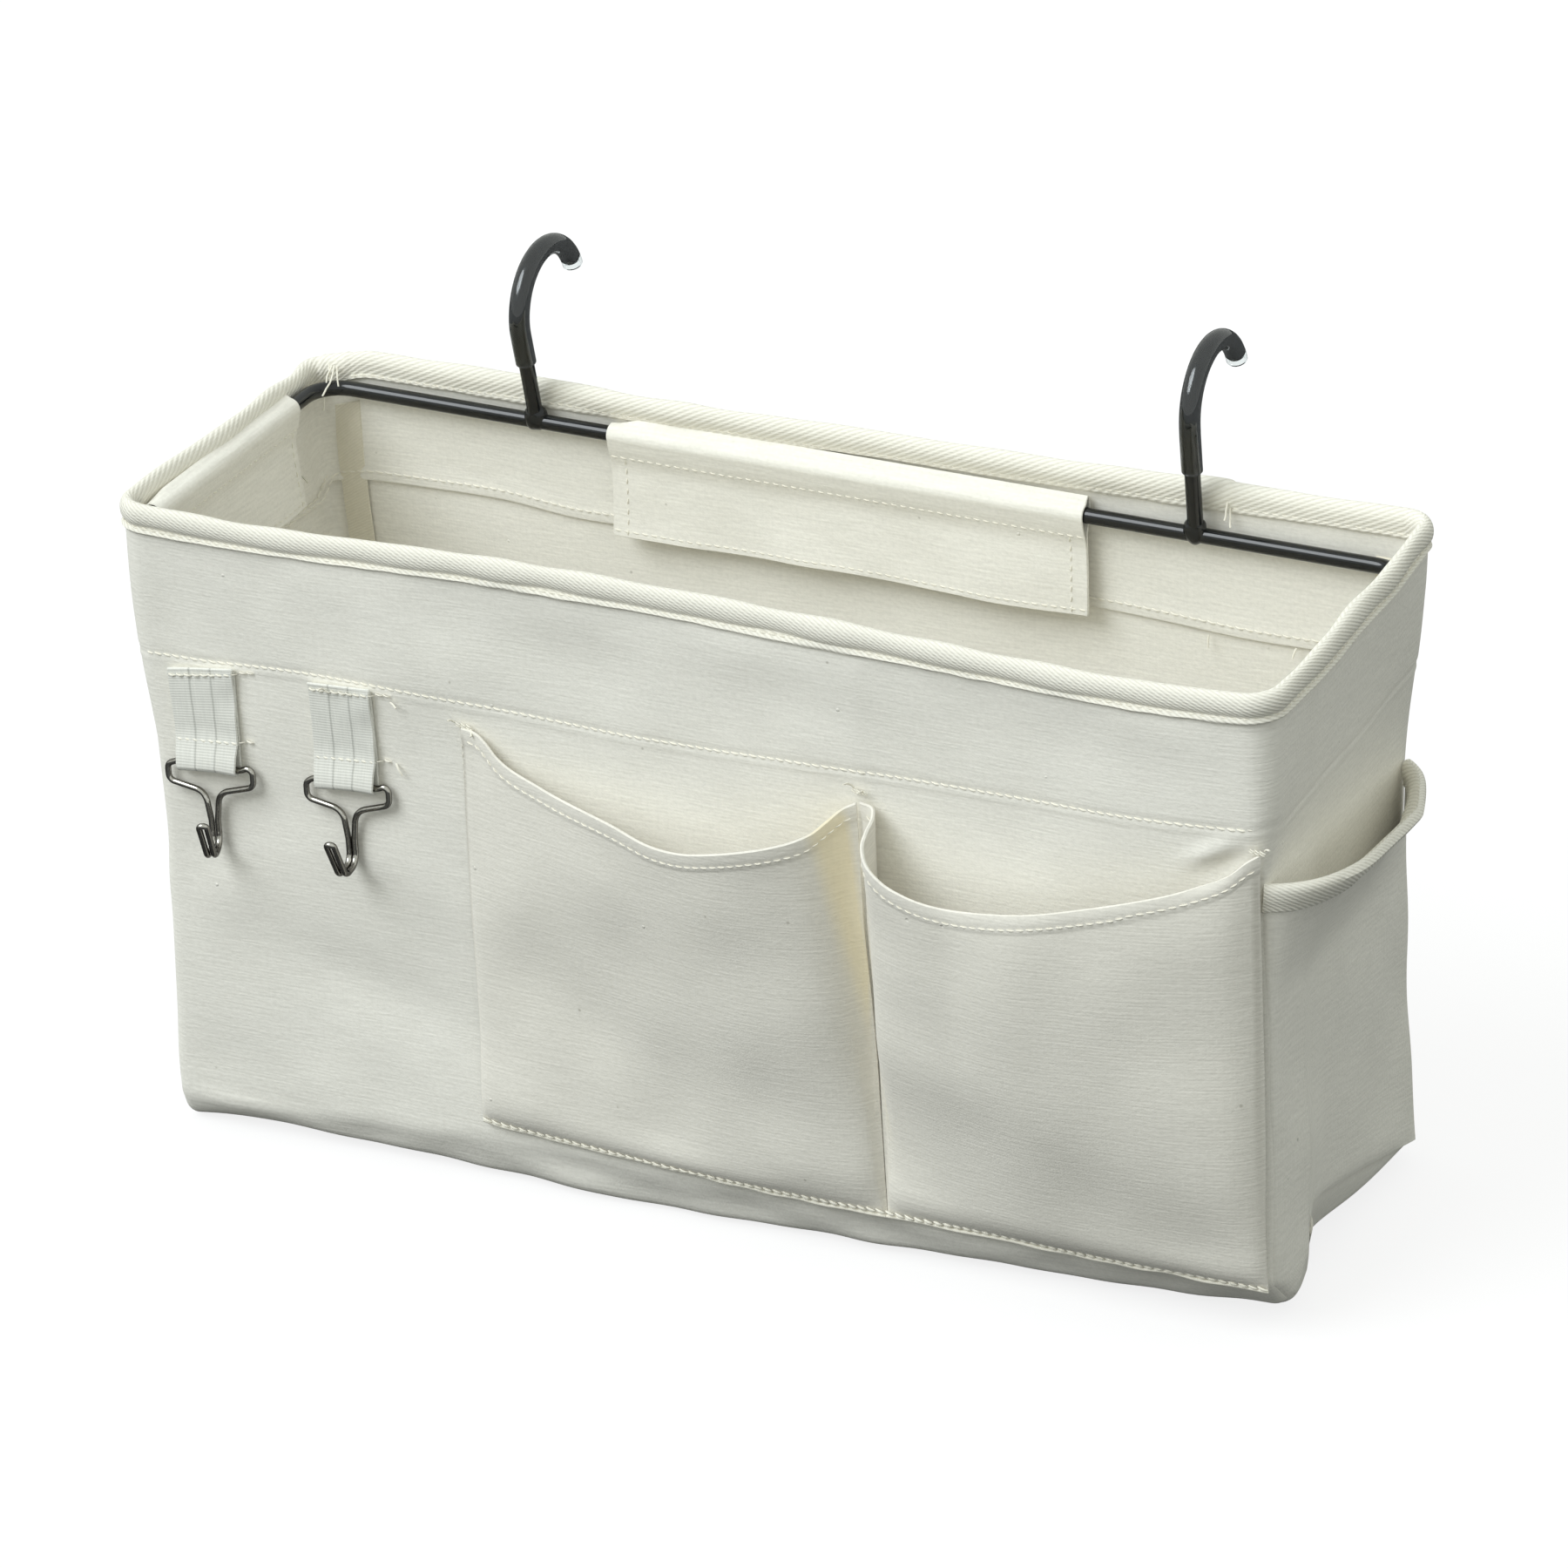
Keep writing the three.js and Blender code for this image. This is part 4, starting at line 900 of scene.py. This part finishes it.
# %% Front pockets
def pocket_foot(x):
    """The height of the seam along the pockets' foot, which runs uphill to the left."""
    return through(x, [-80, -60, -8, 30, 60, 190], [18, 16.6, 14.6, 12.9, 12.6, 12.6])


LEFT_MOUTH = [
    (-74.2, -63.4, 153.8), (-69, -64.4, 153.3), (-65.4, -65.6, 151.4), (-61.5, -66.8, 148.2), (-44, -71.1, 142.2),
    (-16.7, -78.9, 138.4), (-1.9, -82, 135.4), (8.7, -83.6, 135.7), (20, -84.8, 138.1), (30.1, -84.4, 140.6),
    (39, -82.4, 142.8), (45.5, -79.4, 144.6), (49.6, -75.6, 146.2), (52.5, -71.2, 148.6), (55.5, -67, 151.2),
    (59.6, -63.9, 152.9)]
RIGHT_MOUTH = [
    (60.4, -63.8, 152.9), (64.6, -65, 152.4), (66.4, -68.6, 151.4), (67.2, -75, 149.6), (67.6, -79, 147),
    (70, -82.2, 143.2), (76, -84.4, 139), (84.2, -85.4, 136.4), (90, -85.4, 135.2), (98, -84.8, 134.4),
    (105.6, -85, 134.9), (120.2, -83.9, 136.6), (137.8, -80.6, 140), (154.2, -76.2, 143.8), (169, -71.2, 148.4),
    (178.9, -67.4, 153), (183.2, -64.8, 156.9), (187, -62.4, 159.2)]


def mouth_curve(points, columns):
    """Evenly spaced points on the smooth curve through the given ones, by distance along it."""
    points = np.asarray(points, float)
    run = run_along(points)
    fine = np.linspace(0, run[-1], 400)
    curve = np.stack([through(fine, run, points[:, k]) for k in range(3)], 1)
    return even(curve, run[-1] / columns * 1.0001)[:columns + 1]


def pocket_grid(mouth, corner, seed, fullness=0.0):
    """Rows from the foot to the mouth, as rise goes from 0 to 1. The mouth starts at the outer seam. Up to the corner
    the foot is as wide as the pocket, and behind it lies the gusset, which narrows to 1.2 mm at the foot. Just above
    the foot the cloth stands off by up to 4 mm, and halfway up the right pocket by up to fullness mm more."""
    rows = np.concatenate([np.linspace(0, 0.1, 12)[:-1], np.linspace(0.1, 0.93, 54), np.linspace(0.9375, 1, 12)])
    rise, column = np.meshgrid(rows, np.arange(len(mouth)), indexing="ij")
    fold = int(np.argmin(np.linalg.norm(mouth - corner, axis=1)))
    outer_end, seam = mouth[0, 0], mouth[-1, 0]
    foot_seam, foot_end = 62.0, outer_end - (3.0 if outer_end < 0 else 0)
    fold_foot = foot_seam - 1.2 * np.sign(seam - outer_end)
    foot_x = foot_end + (mouth[:, 0] - outer_end) * (fold_foot - foot_end) / (mouth[fold, 0] - outer_end)
    foot_x[fold:] = np.linspace(fold_foot, foot_seam, len(mouth) - fold)
    weights = np.hanning(15)[1:-1]
    foot_x = np.convolve(np.pad(foot_x, 6, mode="edge"), weights / weights.sum(), "valid")
    foot_y = -63.5 + 0.9 * np.clip((column - fold) / (len(mouth) - fold), 0, 1)
    x = foot_x[column] + (mouth[column, 0] - foot_x[column]) * rise
    y = foot_y + (mouth[column, 1] - foot_y) * rise ** 1.15
    foot_z = pocket_foot(foot_x)[column]
    z = foot_z + (mouth[column, 2] - foot_z) * rise
    from_seams = 1 - np.exp(-np.abs(foot_x[column] - foot_end) / 2.2)
    from_seams = from_seams * (1 - np.exp(-np.abs(foot_x[column] - foot_seam) / 5))
    y = y - 4.0 * (1 - np.exp(-(z - foot_z) / 4.2)) * from_seams * (1 - rise) ** 0.8
    rounded_off = 1 - np.exp(-np.abs(x - outer_end) / 12)
    y = y - fullness * rounded_off * np.sin(math.pi * np.clip(rise, 0, 1)) ** 0.8 * ease(x, 64, 120)
    grid = np.stack([x, y, z], -1)
    # Soft folds, none at the seams, the foot or the mouth
    share = np.linspace(0, 1, len(mouth))[None, :]
    room = np.clip(np.minimum(share, 1 - share) * 7, 0, 1) * ease(rise, 0, 0.12) * (0.25 + 0.75 * ease(rise, 1, 0.8))
    folds = 1.0 * swell(x, 1.3 * z, 95, seed) + 0.24 * swell(x, z, 38, seed + 1)
    return grid + (folds * room)[..., None] * (0, -1.0, 0)


HEM_STITCHES = 4.2  # from the mouth down to the stitches in its hem


def hem_steps(grid, depth=5.2, extra=0.5):
    """How far the hem stands out: 0 below it, extra over the last depth mm to the mouth, less at its stitches."""
    below = np.linalg.norm(grid - grid[-1:], axis=2)
    return extra * ease(below, depth + 0.5, depth - 0.3) - 0.25 * np.exp(-(((below - HEM_STITCHES) / 0.8) ** 2))


mouths = {"left": mouth_curve(LEFT_MOUTH, 190), "right": mouth_curve(RIGHT_MOUTH, 190)[::-1]}
pockets = {
    "left": pocket_grid(mouths["left"], (49.0, -76.2, 146), 71),
    "right": pocket_grid(mouths["right"], (67.6, -79, 147), 81, 8.0)[:, ::-1]}
for side, grid in pockets.items():
    piece = cloth_sheet(f"{side}_pocket_cloth", sag(grid), grid[..., [0, 2]] + (400, 33), hem_steps(grid), 0.6)
    dress(piece, shaded_pocket_canvas, (f"front_{side}_pocket",))

# %% [markdown]
# The side pocket bellies out from the right wall and has a bound mouth. The binding is twill tape again,
# folded over the pocket's edge. Both are offsets from one surface, so the tape stays on the cloth.

# %% Side pocket
def bezier(points, t):
    """Cubic curve: (1-t)^3 a + 3(1-t)^2 t b + 3(1-t) t^2 c + t^3 d."""
    a, b, c, d = np.asarray(points, float)
    t = t[:, None]
    return (1 - t) ** 3 * a + 3 * (1 - t) ** 2 * t * b + 3 * (1 - t) * t ** 2 * c + t ** 3 * d


SIDE_PLAN = np.concatenate([
    bezier([(0, 0), (0.04, 0.55), (0.12, 1), (0.36, 1)], np.linspace(0, 1, 40)),
    bezier([(0.36, 1), (0.46, 1), (0.56, 1), (0.66, 1)], np.linspace(0, 1, 30))[1:],
    bezier([(0.66, 1), (0.88, 0.65), (0.96, 0.33), (1, 0)], np.linspace(0, 1, 40))[1:]])
SIDE_BULGE, SIDE_FLARE = 18.0, 38.0
SIDE_FRONT, SIDE_DEPTH, SIDE_WIDTH = -59.8, 116.3, 113  # its front edge's y, its size along y, and that of its plan


def side_foot(wide):
    """The pocket's foot: near the base up to 36 mm from the front, then along the wall's crease."""
    y = SIDE_FRONT + SIDE_DEPTH * wide
    return np.where(y < -35, 0.9, side_crease(y) + 0.3)


def side_pocket_at(share, drop):
    """A point of the side pocket: share of its width from front to rear, and mm below the mouth. It stands out
    from the wall by 18 mm times the plan times (1 - drop / 38)^1.6."""
    plan = run_along(SIDE_PLAN * (SIDE_WIDTH, SIDE_BULGE))
    at = share * plan[-1]
    wide, out = np.interp(at, plan, SIDE_PLAN[:, 0]), np.interp(at, plan, SIDE_PLAN[:, 1])
    mouth = RIM - (66 + 14 * wide)
    z = mouth - np.minimum(drop, mouth - side_foot(wide))
    open_share = np.clip(1 - np.maximum(drop, 0) / SIDE_FLARE, 0, 1) ** 1.6
    x = half_length(z) + 1.5 + SIDE_BULGE * out * open_share
    x = x + 0.35 * swell(wide * SIDE_WIDTH, z, 40, 91) * ease(drop, 4, 20) - 3.2 * np.exp(-wide * SIDE_WIDTH / 2.2)
    return np.stack([x, SIDE_FRONT + SIDE_DEPTH * wide, z], -1)


rows = np.concatenate([np.linspace(1, 0.7, 26), np.linspace(0.69, 0.3, 22), np.linspace(0.285, 0, 24)])
share, part = np.meshgrid(np.linspace(0, 1, 101), rows)
mouth_height = side_pocket_at(share, 0 * part)[..., 2]
foot_height = side_pocket_at(share, 0 * part + 200)[..., 2]
side_grid = side_pocket_at(share, part * (mouth_height - foot_height))
piece = cloth_sheet("side_pocket_cloth", sag(side_grid), flat_uv(side_grid, (420, 10)), 0.0, 0.9)
dress(piece, canvas, ("side_pocket",))

# The binding: (drop below the mouth, distance out from the pocket's face) all round the folded tape
BINDING = np.array([
    (7.9, 0.1), (8.1, 0.5), (7.6, 0.95), (6.4, 0.8), (5.2, 1.15), (3.4, 1.45), (1.4, 1.4), (0, 1.1), (-0.95, 0.3),
    (-1.1, -0.45), (-0.9, -1.2), (0, -2.0), (1.4, -2.3), (3.4, -2.35), (5.2, -2.05), (6.4, -1.7), (7.6, -1.85),
    (8.1, -1.4), (7.9, -1.0), (0.2, -0.95), (0.2, 0.05)])
columns = np.linspace(0.004, 0.996, 330)
share, at = np.meshgrid(columns, np.arange(len(BINDING)))
base = side_pocket_at(share, np.maximum(BINDING[at, 0], 0))
outwards = normals_of(side_pocket_at(*np.meshgrid(columns, np.linspace(8, 0, 9))))[4]
tape = base + BINDING[at, 1][..., None] * outwards[None] + np.maximum(-BINDING[at, 0], 0)[..., None] * (0, 0, 1)
tape_uv = flat_uv(tape, (500, 5))
tape_uv[..., 1] = run_along(BINDING)[:, None]
tape_uv = np.concatenate([tape_uv, tape_uv[-1:] + (0, 1)])
side_binding = quilt("side_pocket_tape", sag(tape), tape_uv, over=True, caps=True)
dress(side_binding, twill, ("side_pocket_binding",))

# %% [markdown]
# ## Loops and wire hooks
# A strap of webbing is folded in two, sewn to the wall with its fold hanging free, and the fold holds the
# bar of a wire hook. The strap is one sheet along a path: down the front layer, round the bar, up behind.

# %% Webbing loops
BARS = {"left": np.array([-164.77, -64.65, 126.0]), "right": np.array([-115.77, -64.65, 128.4])}
STRAP_TOPS = {"left": 159.0, "right": 162.0}
ASKEW = 0.08
FOLD = slice(16, 31)  # the rows of a strap's path that go round the bar


def strap_path(bar, top):
    """(y, z) down the front layer, round the bar about 2 mm from its middle, and up the back layer."""
    y, z = bar[1], bar[2]
    front = [(-63.75, h) for h in np.linspace(top, z + 12, 14)] + [(-64.3, z + 8), (-65.8, z + 4)]
    angle = np.radians(np.linspace(175, 355, 15))
    loop = [(y + 2.1 * math.cos(a), z + 1.75 * math.sin(a)) for a in angle]
    behind = [(-62.85, h) for h in np.linspace(z + 4, top - 0.8, 12)]
    return np.array(front + loop + behind)


def tilt(points, bar):
    """The loops are sewn on askew: each point rises by ASKEW mm per mm to the right of the bar's middle, by more at
    the top of the left loop and by a little less at the top of the right one."""
    askew = ASKEW + 0.1 * ease(points[..., 2], bar[2] + 3, bar[2] + 26) * (1 if bar[0] < -140 else -0.3)
    return points + ((points[..., 0] - bar[0]) * askew)[..., None] * (0, 0, 1.0)


def make_strap(side):
    """The path carried over the strap's width, with its edges drawn in and drooping a little at the fold."""
    bar = BARS[side]
    path = strap_path(bar, STRAP_TOPS[side])
    run = np.linspace(-0.5, 0.5, 15) * STRAP_WIDTH
    i, across = np.meshgrid(np.arange(len(path)), run, indexing="ij")
    y, z = path[i, 0], path[i, 1]
    narrow = 1 - 0.05 * ease(z, bar[2] + 9, bar[2])
    lift = 0.18 * swell(across, z, 14, 95) * ease(z, bar[2] + 3, bar[2] + 9)
    droop = 0.35 * (across / 11) ** 2 * (i > FOLD.start) * (i < FOLD.stop - 1)
    grid = np.stack([bar[0] + across * narrow, y - lift * (i < FOLD.start), z - droop], -1)
    uv = flat_uv(grid)
    uv[..., 0] = run[None] + STRAP_WIDTH / 2
    hung = tilt(grid, bar)
    # The fold tilts less, so that the bar has room to turn in it
    hung[FOLD, :, 2] = np.minimum(hung[FOLD, :, 2], z[FOLD] + 0.22)
    piece = cloth_sheet(f"{side}_strap_webbing", sag(hung), uv, 0.45, 0.45)
    return dress(piece, webbing, (f"{side}_hook_strap",))


for side in BARS:
    make_strap(side)

# %% [markdown]
# A wire hook is one piece of wire: a bar, two bent shoulders, a neck where both ends meet, and a double
# shank that ends in an upturned J. Its path is drawn once by its corners, with the bends rounded. The left
# hook has twisted a little in its loop, so below the neck its path is turned about the shank.

# %% Wire hooks
TIP_WAY = np.array([0, -0.455, 0.89])  # the direction in which the J ends


def wire_path(shoulder, twist):
    """Half the wire from the bar's middle to the tip, rounded, and the other half mirrored. The tip is a hairpin:
    a quarter circle to the middle. Below the neck the path is turned by twist about its upright middle line."""
    half = rounded(
        [(0, 0, 0), (shoulder, 0, 0), (shoulder, 0, -6.3), (2.2, 0, -9.4), (1.02, 0, -19), (1.02, 0, -27.4),
         (1.1, -8.6, -28), (1.25, -15.5, -14.6)], [0, 2.2, 2.6, 5.5, 12, 4.2, 4, 0])
    half = even(half, 0.5)
    angle = np.linspace(0, math.pi / 2, 6)[1:, None]
    tip = half[-1] * (0, 1, 1) + half[-1][0] * (np.cos(angle) * (1, 0, 0) + np.sin(angle) * TIP_WAY)
    half = np.concatenate([half, tip])
    path = np.concatenate([half[::-1], half[1:-1] * (-1, 1, 1)])
    angle = math.radians(twist) * ease(path[:, 2], -9.5, -14)
    x, y, z = path.T
    c, s = np.cos(angle), np.sin(angle)
    return path, np.stack([x * c - y * s, x * s + y * c, z], 1)


def make_wire_hook(side, shoulder, twist):
    """A closed loop of wire, 2 mm thick, hung on the bar's place. The reference direction of its circles turns
    from y at the bar to x along the shank, and to the hairpin's normal at the tip."""
    plain, path = wire_path(shoulder, twist)
    at_bar, at_tip = ease(plain[:, 2], -14, -11)[:, None], ease(plain[:, 1], -10, -14)[:, None]
    square_to_tip = (0, TIP_WAY[2], -TIP_WAY[1])
    reference = at_bar * (0, 1.0, 0) + (1 - at_bar) * ((1 - at_tip) * (1.0, 0, 0) + at_tip * square_to_tip)
    # Inside the fold the bar lies on the axis about which it turns. The rest hangs on askew like the loop
    hung = path + BARS[side]
    beside = np.maximum(ease(np.abs(path[:, 0]), 10.4, 13.8), ease(path[:, 2], -0.5, -3))
    hook = hung + beside[:, None] * (tilt(hung, BARS[side]) - hung)
    hook = make_tube(f"{side}_wire", hook, 0.98, reference, sides=14, closed=True)
    return dress(hook, nickel, (f"{side}_wire_hook",), body=f"{side}_wire_hook")


make_wire_hook("left", 15.3, 18)
make_wire_hook("right", 14.6, 6)

# %% [markdown]
# ## Stitches
# Every seam is a row of lockstitches about 3 mm long. A dotted bump would show them from far, but up close
# the thread stands on the cloth and dips into it. So each stitch is a small pod of 26 faces, laid on a path
# by whole arrays: its middle line follows the path, and its ends sink in.

# %% Stitch rows
def stitch_row(path, out, pitch=3.0, length=2.5, thick=0.55, lean=0.12):
    """Vertices (stitches, 5, 6, 3). Along a stitch t runs from -1 to 1: it stands out by 1 - t^2 of its thickness,
    sinks 0.2 mm at its ends, and leans sideways by lean t."""
    path = np.asarray(path, float)
    out = np.broadcast_to(np.asarray(out, float), path.shape)
    run = run_along(path)
    count = int(run[-1] // pitch)
    t = np.array([-1, -0.6, 0, 0.6, 1.0])
    at = (np.arange(count)[:, None] + 0.5) * (run[-1] / count) + t * length / 2
    line = points_at(at, run, path)
    up_way = unit(points_at(at, run, out))
    side = np.cross(unit(np.gradient(line, axis=1)), up_way)
    line = line + up_way * (0.55 * thick * (1 - t**2) - 0.2 * t**2)[None, :, None] + side * (lean * t)[None, :, None]
    radius = thick / 2 * np.sqrt(1 - 0.8 * t**2)
    angle = np.linspace(0, 2 * math.pi, 6, endpoint=False)
    ring = side[:, :, None] * np.cos(angle)[:, None] + up_way[:, :, None] * np.sin(angle)[:, None] * 0.85
    return line[:, :, None] + radius[None, :, None, None] * ring


def sew(name, rows):
    """All stitches of the given rows as one mesh: the faces of one pod, repeated with an offset."""
    pods = np.concatenate([row.reshape(-1, 30, 3) for row in rows])
    ring, k = np.meshgrid(np.arange(4), np.arange(6), indexing="ij")
    quads = np.stack([ring * 6 + k, ring * 6 + (k + 1) % 6, ring * 6 + 6 + (k + 1) % 6, ring * 6 + 6 + k], -1)
    offsets = 30 * np.arange(len(pods))
    faces = (quads.reshape(1, -1, 4) + offsets[:, None, None]).reshape(-1, 4).tolist()
    ends = np.array([np.arange(5, -1, -1), np.arange(24, 30)])
    faces += (ends[None] + offsets[:, None, None]).reshape(-1, 6).tolist()
    return dress(mesh_from(name, pods.reshape(-1, 3), faces), thread)


def wall_path(inset, height, wander=0.25, seed=1):
    """A line round the bag at a height, with the direction out of the wall at each point. It wanders a little."""
    ring = round_the_bag([height], [inset], 300, 90, 10)[0]
    ring = np.concatenate([ring, ring[:1]])
    ring[:, 2] += wander * swell(ring[:, 0] + ring[:, 1], 0, 60, seed)
    return ring, unit(np.cross(np.gradient(ring, axis=0), (0, 0, 1.0)))


rim_rows = []
for inset, sign in ((-0.55, 1), (3.15, -1)):
    path, out = wall_path(inset, RIM - 7.6, 0.1, 5)
    rim_rows.append(sag(stitch_row(path, sign * out, pitch=3.2, length=2.6, thick=0.36, lean=0.15)))
sew("rim_stitches", rim_rows)

path, out = wall_path(0, 0)
path[:, 2] = hem_height(path[:, 0], path[:, 1]) + 2.3
facing_rows = [sag(stitch_row(path, out, pitch=3.0, length=3.0, thick=0.62, lean=0.25))]
path, out = wall_path(2.3, 0)
path[:, 2] = hem_height(path[:, 0], path[:, 1]) + 2.6
facing_rows.append(sag(stitch_row(path, -out, pitch=3.1, length=2.8, thick=0.55, lean=0.2)))
sew("facing_stitches", facing_rows)

# %% [markdown]
# The pockets are sewn along their sides and foot, and once more under the hem of the mouth. Those rows
# follow rows and columns of the pocket grids, lifted by the hem's thickness.

# %% Pocket stitches
pocket_rows, welts = [], []
for side, grid in pockets.items():
    normal = normals_of(grid)
    below = np.linalg.norm(grid - grid[-1:], axis=2)
    hem_row = np.argmin(np.abs(below - HEM_STITCHES), axis=0)
    column = np.arange(grid.shape[1])
    welt = grid[1].copy()
    welt[:, 2] = pocket_foot(welt[:, 0]) - 0.3 + 0.2 * swell(welt[:, 0], 0, 14, 44)
    welt[:, 1] = -63.6
    welts.append(even(welt, 1.0))
    hem_path = grid[hem_row, column] + 0.3 * normal[hem_row, column]
    padded = np.pad(hem_path, ((3, 3), (0, 0)), mode="edge")
    smooth = np.stack([np.convolve(padded[:, k], np.ones(7) / 7, "valid") for k in range(3)], 1)
    pocket_rows.append(sag(stitch_row(smooth[2:-2], normal[hem_row, column][2:-2], pitch=3.0, length=2.7, thick=0.5)))
    foot = grid[0].copy()
    foot[:, 2] = pocket_foot(foot[:, 0]) + 0.9 + 0.15 * swell(foot[:, 0], 0, 30, 45)
    foot[:, 1] = -64.5
    pocket_rows.append(sag(stitch_row(foot, (0, -1, 0.2), pitch=3.1, length=3.1, thick=0.75, lean=0.3)))
seam = np.stack([np.full(60, -75.0), np.full(60, -62.4), np.linspace(88, 152, 60)], 1)
pocket_rows.append(sag(stitch_row(seam, (0, -1, 0), pitch=3.0, thick=0.4)))
# Bars of tight stitches lock the ends of the mouths
for x, y, z, length in ((-76.5, -63.2, 154.6, 5.5), (57.5, -63.6, 156.5, 5), (183, -63.2, 159.8, 5)):
    bar = np.stack([np.linspace(x, x + length, 20), np.full(20, y), z - 0.12 * np.linspace(0, length, 20)], 1)
    for lift in (0, 0.7):
        bar_row = stitch_row(bar + (0.4 * lift, 0, lift), (0, -1, 0), pitch=1.5, length=2.4, thick=0.6, lean=0.35)
        pocket_rows.append(sag(bar_row))
sew("pocket_stitches", pocket_rows)
for side, path in zip(pockets, welts):
    welt = make_tube(f"{side}_pocket_foot_fold", sag(path), 0.62, (0, 0, 1), sides=8)
    dress(welt, thread)

# %% Strap and sleeve stitches
strap_rows = []
for side, top in STRAP_TOPS.items():
    x, low = BARS[side][0], BARS[side][2] + 8.2
    for height, reach in ((top - 2.0, 6.5), (low, 4.5)):
        line = np.stack([np.linspace(x - 10.6, x + 11 + reach, 30), np.full(30, -64.35), np.full(30, height)], 1)
        line[:, 1] += 1.9 * ease(line[:, 0], x + 10.8, x + 12.2)
        row = stitch_row(line, (0, -1, 0), pitch=2.5, length=2.5, thick=0.75, lean=0.3)
        strap_rows.append(sag(tilt(row, BARS[side])))
sew("strap_stitches", strap_rows)

sleeve_rows = []
for side, grid in sleeves.items():
    inward = -SIDES[side][1]
    face = grid[:18] + 0.33 * inward
    for line in (face[15], face[1], face[:16, 2], face[:16, -3]):
        sleeve_rows.append(stitch_row(line, inward, pitch=3.1, thick=0.42))
sew("sleeve_stitches", sleeve_rows)

# %% [markdown]
# Cut thread ends stick out where a seam stops. Each is a thin tube on a path that starts in one direction
# and wanders off by seeded steps.

# %% Thread ends
def thread_end(start, way, length, seed):
    """Points 0.5 mm apart: each step turns by a random amount, and the end droops."""
    count = int(length / 0.5)
    wander = np.cumsum(np.random.default_rng(seed).normal(0, 0.1, (count, 3)), axis=0)
    steps = unit(np.asarray(way, float)) + wander + np.linspace(0, 0.7, count)[:, None] * (0, 0, -1)
    return np.concatenate([[start], np.asarray(start, float) + np.cumsum(0.5 * unit(steps), axis=0)])


THREAD_ENDS = [
    ((58.4, -63.4, 157.4), (-0.3, -0.3, 1), 5), ((61.0, -63.4, 156.6), (0.2, -0.5, 1), 3.5),
    ((-76.4, -63.2, 155.6), (-0.6, -0.6, 1), 3), ((-71.0, -63.4, 153.9), (0.6, -0.8, -0.2), 3),
    ((187.5, -62.2, 160.2), (0.6, -0.5, 0.8), 3.5), ((-98.5, -62.6, 158.6), (0.8, -0.6, 0.1), 4),
    ((-98.6, -62.6, 137.2), (0.8, -0.6, -0.2), 4.5), ((-120.0, -65.2, 160.5), (-0.3, -0.6, 1), 3.5),
    ((-182.2, 56.6, 211.0), (0.15, -0.7, -0.72), 9), ((-181.0, 56.4, 210.6), (0.15, -0.7, -0.7), 15),
    ((-180.0, 56.2, 210.4), (0.05, -0.7, -0.7), 11), ((-179.2, 56.6, 209.6), (0.05, -0.7, -0.75), 7),
    ((-189.0, 44.0, 178.0), (1, -0.4, -0.2), 8), ((-189.0, 38.0, 160.0), (0.8, -0.5, -0.6), 9),
    ((128.4, 58.4, 204.6), (0.2, -0.5, -0.9), 6), ((127.6, 58.8, 207.6), (0.1, -0.7, -0.7), 7),
    ((120.0, 59.2, 162.4), (0.3, -0.6, -0.9), 4), ((149.0, 59.2, 162.6), (-0.3, -0.6, -0.9), 3.5)]
for number, (start, way, length) in enumerate(THREAD_ENDS):
    path = sag(thread_end(start, way, length, 300 + number))
    end = make_tube(f"thread_end_{number:02d}", path, 0.3, (0.3, 0.9, 0.2), sides=6)
    dress(end, thread)

# %% [markdown]
# ## Studio
# The floor and the world are white to the camera and through clear things. On the object they shine with
# the soft light of a studio: a broad lamp from the upper left in front, the rest from all sides, and only a
# little from the floor, so that the foot of the bag stays dark.

# %% Floor, world and lamp
def seen_directly(tree):
    """1 for rays from the camera and through clear things, else 0."""
    camera_ray = add_node(tree, "LightPath", out="Is Camera Ray")
    through_clear = camera_ray.node.outputs["Is Transmission Ray"]
    return add_node(tree, "Math", {0: camera_ray, 1: through_clear}, operation="ADD", use_clamp=True)


floor_mesh = bpy.data.meshes.new("floor")
below = -7.2 * MM  # the base hangs up to 6.1 mm below z = 0
floor_mesh.from_pydata([(-6, -6, below), (6, -6, below), (6, 6, below), (-6, 6, below)], [], [(0, 1, 2, 3)])
floor = bpy.data.objects.new("floor", floor_mesh)
bpy.context.scene.collection.objects.link(floor)
paper = bpy.data.materials.new("white_paper")
paper.use_nodes = True
tree = paper.node_tree
tree.nodes.remove(tree.nodes["Principled BSDF"])
seen = seen_directly(tree)
matt = add_node(tree, "BsdfDiffuse", {"Color": (0.2, 0.2, 0.2, 1)})
glow = add_node(tree, "Emission", {"Color": (1, 1, 1, 1), "Strength": 0.82})
shining = add_node(tree, "AddShader", {0: matt, 1: glow})
dark = add_node(tree, "BsdfDiffuse", {"Color": (0.1, 0.1, 0.1, 1)})
surface = add_node(tree, "MixShader", {0: seen, 1: dark, 2: shining})
tree.links.new(surface, tree.nodes["Material Output"].inputs["Surface"])
floor_mesh.materials.append(paper)

world = bpy.data.worlds.new("studio")
bpy.context.scene.world = world
world.use_nodes = True
tree = world.node_tree
background = tree.nodes["Background"]
light = {0: seen_directly(tree), 6: (0.705, 0.735, 0.70, 1), 7: (1, 1, 1, 1)}
tree.links.new(add_node(tree, "Mix", light, out=2, data_type="RGBA"), background.inputs["Color"])

lamp = bpy.data.objects.new("key_lamp", bpy.data.lights.new("key_lamp", "SUN"))
lamp.data.energy = 1.95
lamp.data.angle = math.radians(38)
lamp.data.color = (0.88, 0.925, 0.96)
from_lamp = Vector((-0.42, -0.54, 0.73))
lamp.rotation_euler = from_lamp.to_track_quat("Z", "Y").to_euler()
bpy.context.scene.collection.objects.link(lamp)
print("lamp points from, degrees up:", round(math.degrees(math.asin(from_lamp.normalized().z))))
